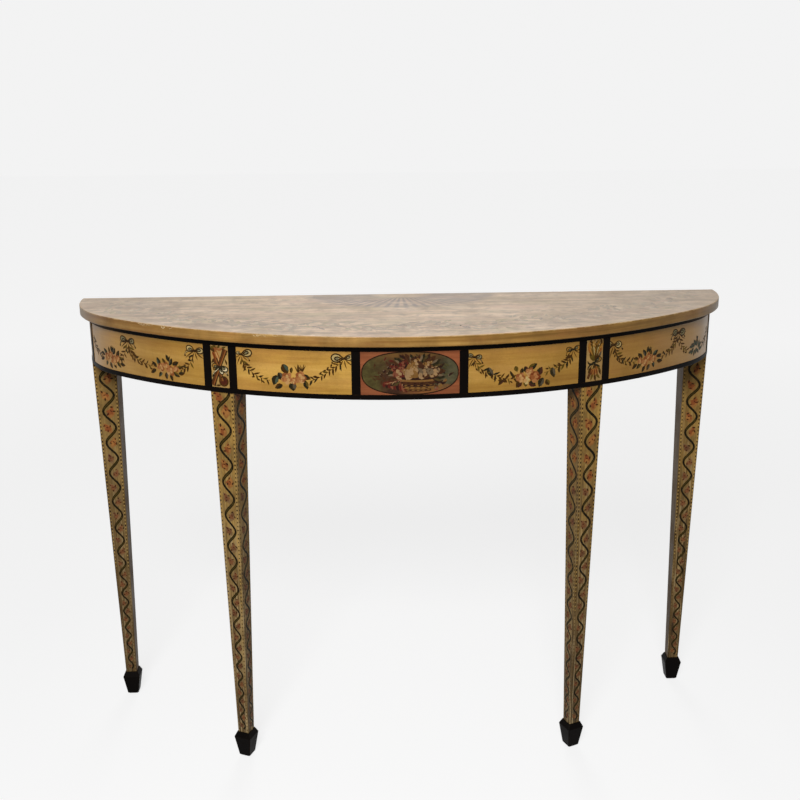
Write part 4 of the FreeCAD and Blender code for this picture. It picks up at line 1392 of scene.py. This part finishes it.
def vine_height(turns):
    """Height of the vine after so many waves; they shorten with the leg and hang low halfway down."""
    half = leg_half_width(VINE_FIRST_SWING) / math.exp(turns * VINE_PITCH * LEG_TAPER)
    height = FOOT_HEIGHT + (2 * half - LEG_ANKLE_WIDTH) / LEG_TAPER
    fallen = min(max((FRIEZE_BOTTOM - height) / (FRIEZE_BOTTOM - FOOT_HEIGHT), 0.0), 1.0)
    return height - VINE_SAG * math.sin(math.pi * fallen**1.4) ** 2


def vine_swing(height):
    """How far the vine swings to each side."""
    rise = (height - FOOT_HEIGHT) / (FRIEZE_BOTTOM - FOOT_HEIGHT)
    return leg_half_width(height) * (VINE_SWING + VINE_SWING_GROWTH * rise)


def paint_vine(work, hand):
    """Waving stem, thick where it falls to the left, with a lighter back on the thick strokes."""
    steps_per_turn = 14
    first = math.ceil(vine_turns(VINE_TOP) * steps_per_turn)
    last = math.floor(vine_turns(VINE_BOTTOM) * steps_per_turn)
    line, widths = [], []
    for step in range(first, last + 1):
        turns = step / steps_per_turn
        height = vine_height(turns)
        swing = -hand * math.cos(2 * math.pi * turns) * vine_swing(height)
        line.append((swing + VINE_SHIFT * leg_half_width(height), height))
        heavy = max(0.0, -hand * math.sin(2 * math.pi * turns))
        widths.append(leg_half_width(height) * (VINE_THICKNESS + VINE_SWELL * heavy) + VINE_LEAST)
    work.stroke(line, widths, "vine_dark", 3)
    half_turn = steps_per_turn // 2
    for start in range(first, last - half_turn, half_turn):
        lean = -hand * math.sin(2 * math.pi * (start + half_turn / 2) / steps_per_turn)
        if start % half_turn == 0 and lean > 0:
            part = slice(start - first + 1, start - first + half_turn)
            work.stroke(line[part], [width * 0.4 for width in widths[part]], "vine_olive", 4)


def paint_bud(work, place, size, lean):
    """Soft rust-red flower on a paler wash with a few dark touches on it, duller towards the foot."""
    dice = work.dice
    fresh = place[1] > DULL_BELOW
    wash = "bud_wash" if fresh else "bud_faint"
    tints = ("bud_rust", "bud_rust", "bud_pale") if fresh else ("bud_dull", "bud_dull", "bud_worn")
    up = 90 - lean * 22 + dice.uniform(-14, 14)
    touch(work, place, up + 10, size * 1.35, size * 0.78, wash, 0, 12)
    for turn, reach in ((0, 0.24), (120, 0.18), (-120, 0.18), (180, 0.20)):
        middle = towards(place, up + turn, size * reach)
        heading = up + turn + dice.uniform(-50, 50)
        paint = dice.choice(tints)
        length = size * dice.uniform(0.48, 0.64)
        touch(work, middle, heading, length, length * dice.uniform(0.56, 0.72), paint, 1, 20)
    for turn, reach in ((8, 0.50), (-75, 0.36), (150, 0.42)):
        middle = towards(place, up + turn + dice.uniform(-16, 16), size * reach * dice.uniform(0.7, 1.1))
        paint = dice.choice(("bud_maroon", "bud_leaf"))
        length = size * dice.uniform(0.26, 0.40)
        touch(work, middle, up + dice.uniform(-70, 70), length, length * 0.5, paint, 3, 18)
    touch(work, towards(place, up, size * 0.06), up + 60, size * 0.26, size * 0.12, "bud_maroon", 4, 30)


def paint_buds(work, hand):
    """One bud in every bay of the vine."""
    first = math.ceil(2 * vine_turns(VINE_TOP - BUD_ROOM))
    last = math.floor(2 * vine_turns(VINE_BOTTOM + BUD_ROOM))
    for half_turns in range(first - 1, last + 1):
        height = min(vine_height(half_turns / 2), FIRST_BUD)
        side = hand if half_turns % 2 == 0 else -hand
        aside = BUD_ASIDE if half_turns >= first else FIRST_BUD_ASIDE
        place = (side * leg_half_width(height) * aside, height + work.dice.uniform(-0.002, 0.002))
        paint_bud(work, place, leg_half_width(height) * work.dice.uniform(*BUD_SIZES), side)


def paint_dots(work):
    """Row of small dark dots down each edge with painted glints between them, rubbed faint towards the foot.
    """
    dice = work.dice
    count = int((VINE_TOP - VINE_BOTTOM) / DOT_PITCH)
    for number in range(2 * count + 1):
        height = VINE_TOP - number * DOT_PITCH / 2
        fresh = (height - VINE_BOTTOM) / (VINE_TOP - VINE_BOTTOM)
        for side in (-1, 1):
            place = (side * (leg_half_width(height) - DOT_MARGIN), height)
            if number % 2 == 0:
                paint = "dot_brown" if dice.random() < 2.2 * fresh - 0.7 else "dot_worn"
                work.dot(place, DOT_RADIUS * dice.uniform(0.85, 1.15), paint, 1)
            # Painted glints between the dark dots
            elif fresh > 0.35:
                work.dot(place, DOT_BETWEEN, "dot_pale", 0)


def paint_legs():
    """Vines on the front and side faces of the front legs, the front and outer faces of the back ones."""
    painted = {
        "foot_front_left": ("front", "right", "left"),
        "foot_front_right": ("front", "right", "left"),
        "foot_back_left": ("front", "left"),
        "foot_back_right": ("front", "right"),
    }
    for number, (foot, sides) in enumerate(painted.items()):
        for side in sides:
            name = foot.replace("foot", "vine") + "_" + side
            work = PaintedWork(name, leg_face(foot, side), "painted_legs", 100 + 10 * number + len(side))
            hand = -1 if side == "left" else 1
            paint_vine(work, hand)
            paint_buds(work, hand)
            paint_dots(work)
            work.finish()


# Top
def paint_top_border():
    """Faded garland of leaves and roses, pale with painted sheen, in from the curved edge, and one small
    nick.
    """
    work = PaintedWork("top_border", top_face, "painted_top", 61, TOP_FILM)
    dice = work.dice
    reach = BOW_RADIUS * JOIN_ANGLE + TOP_END_RADIUS * (math.pi / 2 - JOIN_ANGLE) - BORDER_END_GAP
    count = int(reach / BORDER_PITCH)
    for step in range(-count, count + 1):
        along = BORDER_PITCH * step
        inset = BORDER_INSET + BORDER_WAVE * math.sin(along * BORDER_WAVES)
        for side in (-1, 1):
            base = (along, inset + side * dice.uniform(0.0, BORDER_SPREAD))
            heading = dice.choice((0, 180)) + side * dice.uniform(10, 60)
            paint = dice.choice(("top_grey", "top_olive", "top_pink", "top_grey", "top_plum"))
            length = dice.uniform(0.014, 0.028)
            width = length * dice.uniform(0.30, 0.45)
            leaf(work, base, heading, length, width, paint, 0, dice.uniform(-30, 30))
        if step % BORDER_ROSE_EVERY == 0:
            rose(work, (along, inset), dice.uniform(0.028, 0.038), ROSE_FADED_AND_SHEENED, 1)
    touch(work, NICK_PLACE, 96, 0.009, 0.0026, "dot_brown", 4)
    work.finish()


def paint_edge_chips():
    """Places on the upper arris where the paint has flaked to the gesso."""
    work = PaintedWork("edge_chips", top_edge, "painted_top", 71, TOP_FILM)
    dice = work.dice
    for along in CHIP_PLACES:
        length = dice.uniform(0.006, 0.012)
        level = dice.uniform(-0.0006, 0.0010)
        line = [(along + length * t, level + dice.uniform(-0.0004, 0.0004)) for t in (0, 0.25, 0.5, 0.75, 1)]
        width = dice.uniform(0.0040, 0.0064)
        work.stroke(line, [width * share for share in (0.3, 0.9, 1.0, 0.7, 0.2)], "bare_gesso", 0)
    work.finish()


# Studio
def make_floor():
    """Pale paper floor that keeps the table's shadow and runs into the backdrop."""
    mesh = bpy.data.meshes.new("studio_floor")
    half = FLOOR_SIZE / 2
    corners = [(-half, -half, 0), (half, -half, 0), (half, half, 0), (-half, half, 0)]
    mesh.from_pydata(corners, [], [(0, 1, 2, 3)])
    floor = bpy.data.objects.new("studio_floor", mesh)
    bpy.context.scene.collection.objects.link(floor)
    material = bpy.data.materials.new("studio_paper")
    material.use_nodes = True
    nodes = Nodes(material.node_tree)
    shader = nodes.tree.nodes["Principled BSDF"].inputs
    shader["Base Color"].default_value = FLOOR_COLOUR
    shader["Roughness"].default_value = 0.9
    shader["Specular IOR Level"].default_value = 0.0
    shader["Emission Color"].default_value = (1, 1, 1, 1)
    place = nodes.put("TexCoord")["Object"]
    distance = nodes.put("VectorMath", {0: place}, operation="LENGTH")["Value"]
    glow = nodes.spread(distance, FLOOR_NEAR, FLOOR_FAR, FLOOR_GLOW, FLOOR_FAR_GLOW)
    nodes.tree.links.new(nodes.times(seen_directly(nodes), glow), shader["Emission Strength"])
    mesh.materials.append(material)


def seen_directly(nodes):
    """One where the camera, a reflection or glass looks at the studio, nought where it lights the table."""
    path = nodes.put("LightPath")
    seen = nodes.reckon("MAXIMUM", path["Is Camera Ray"], path["Is Glossy Ray"])
    return nodes.reckon("MAXIMUM", seen, path["Is Transmission Ray"])


def make_world():
    """Even room light; the camera and reflections see the pale backdrop."""
    world = bpy.data.worlds.new("studio_room")
    bpy.context.scene.world = world
    world.use_nodes = True
    nodes = Nodes(world.node_tree)
    room = nodes.tree.nodes["Background"]
    room.inputs["Color"].default_value = (1, 1, 1, 1)
    room.inputs["Strength"].default_value = ROOM_LIGHT
    backdrop = nodes.put("Background", {"Color": (*BACKDROP_COLOUR, 1), "Strength": 1.0})[0]
    mixed = nodes.put("MixShader", {0: seen_directly(nodes), 1: room.outputs[0], 2: backdrop})[0]
    nodes.tree.links.new(mixed, nodes.tree.nodes["World Output"].inputs["Surface"])


def make_lamp(name, place, power, beam, mirrored):
    """Soft round lamp with its beam in degrees; mirrored says whether glossy surfaces reflect it."""
    lamp = bpy.data.lights.new(name, "AREA")
    lamp.shape = "DISK"
    lamp.size = LAMP_WIDTH
    lamp.energy = power
    lamp.spread = math.radians(beam)
    stand = bpy.data.objects.new(name, lamp)
    stand.location = place
    stand.rotation_euler = (Vector(LAMP_AIM) - Vector(place)).to_track_quat("-Z", "Y").to_euler()
    stand.visible_camera = False
    stand.visible_glossy = mirrored
    bpy.context.scene.collection.objects.link(stand)


def make_camera():
    camera = bpy.data.cameras.new("photo_camera")
    camera.lens = CAMERA_LENS
    camera.sensor_width = CAMERA_SENSOR
    stand = bpy.data.objects.new("photo_camera", camera)
    turn = Matrix.Rotation(math.radians(CAMERA_HEADING), 4, "Z")
    turn = turn @ Matrix.Rotation(math.radians(CAMERA_TILT), 4, "X")
    turn = turn @ Matrix.Rotation(math.radians(CAMERA_ROLL), 4, "Y")
    turn = turn @ Matrix.Rotation(math.radians(90), 4, "X")
    stand.matrix_world = Matrix.Translation(CAMERA_PLACE) @ turn
    bpy.context.scene.collection.objects.link(stand)
    bpy.context.scene.camera = stand


give_finishes()
paint_front_left()
paint_front_right()
paint_side("garland_side_left", -1, 29, 0.40, 1.0)
paint_side("garland_side_right", 1, 30, 0.50, 0.0)
paint_die_left()
paint_die_right()
paint_tablet()
paint_legs()
paint_top_border()
paint_edge_chips()

bpy.context.scene.view_settings.view_transform = "Standard"
make_floor()
make_world()
make_lamp("window_light", LAMP_PLACE, LAMP_POWER, LAMP_BEAM, True)
make_lamp("back_light", BACK_LAMP_PLACE, BACK_LAMP_POWER, BACK_LAMP_BEAM, False)
make_camera()
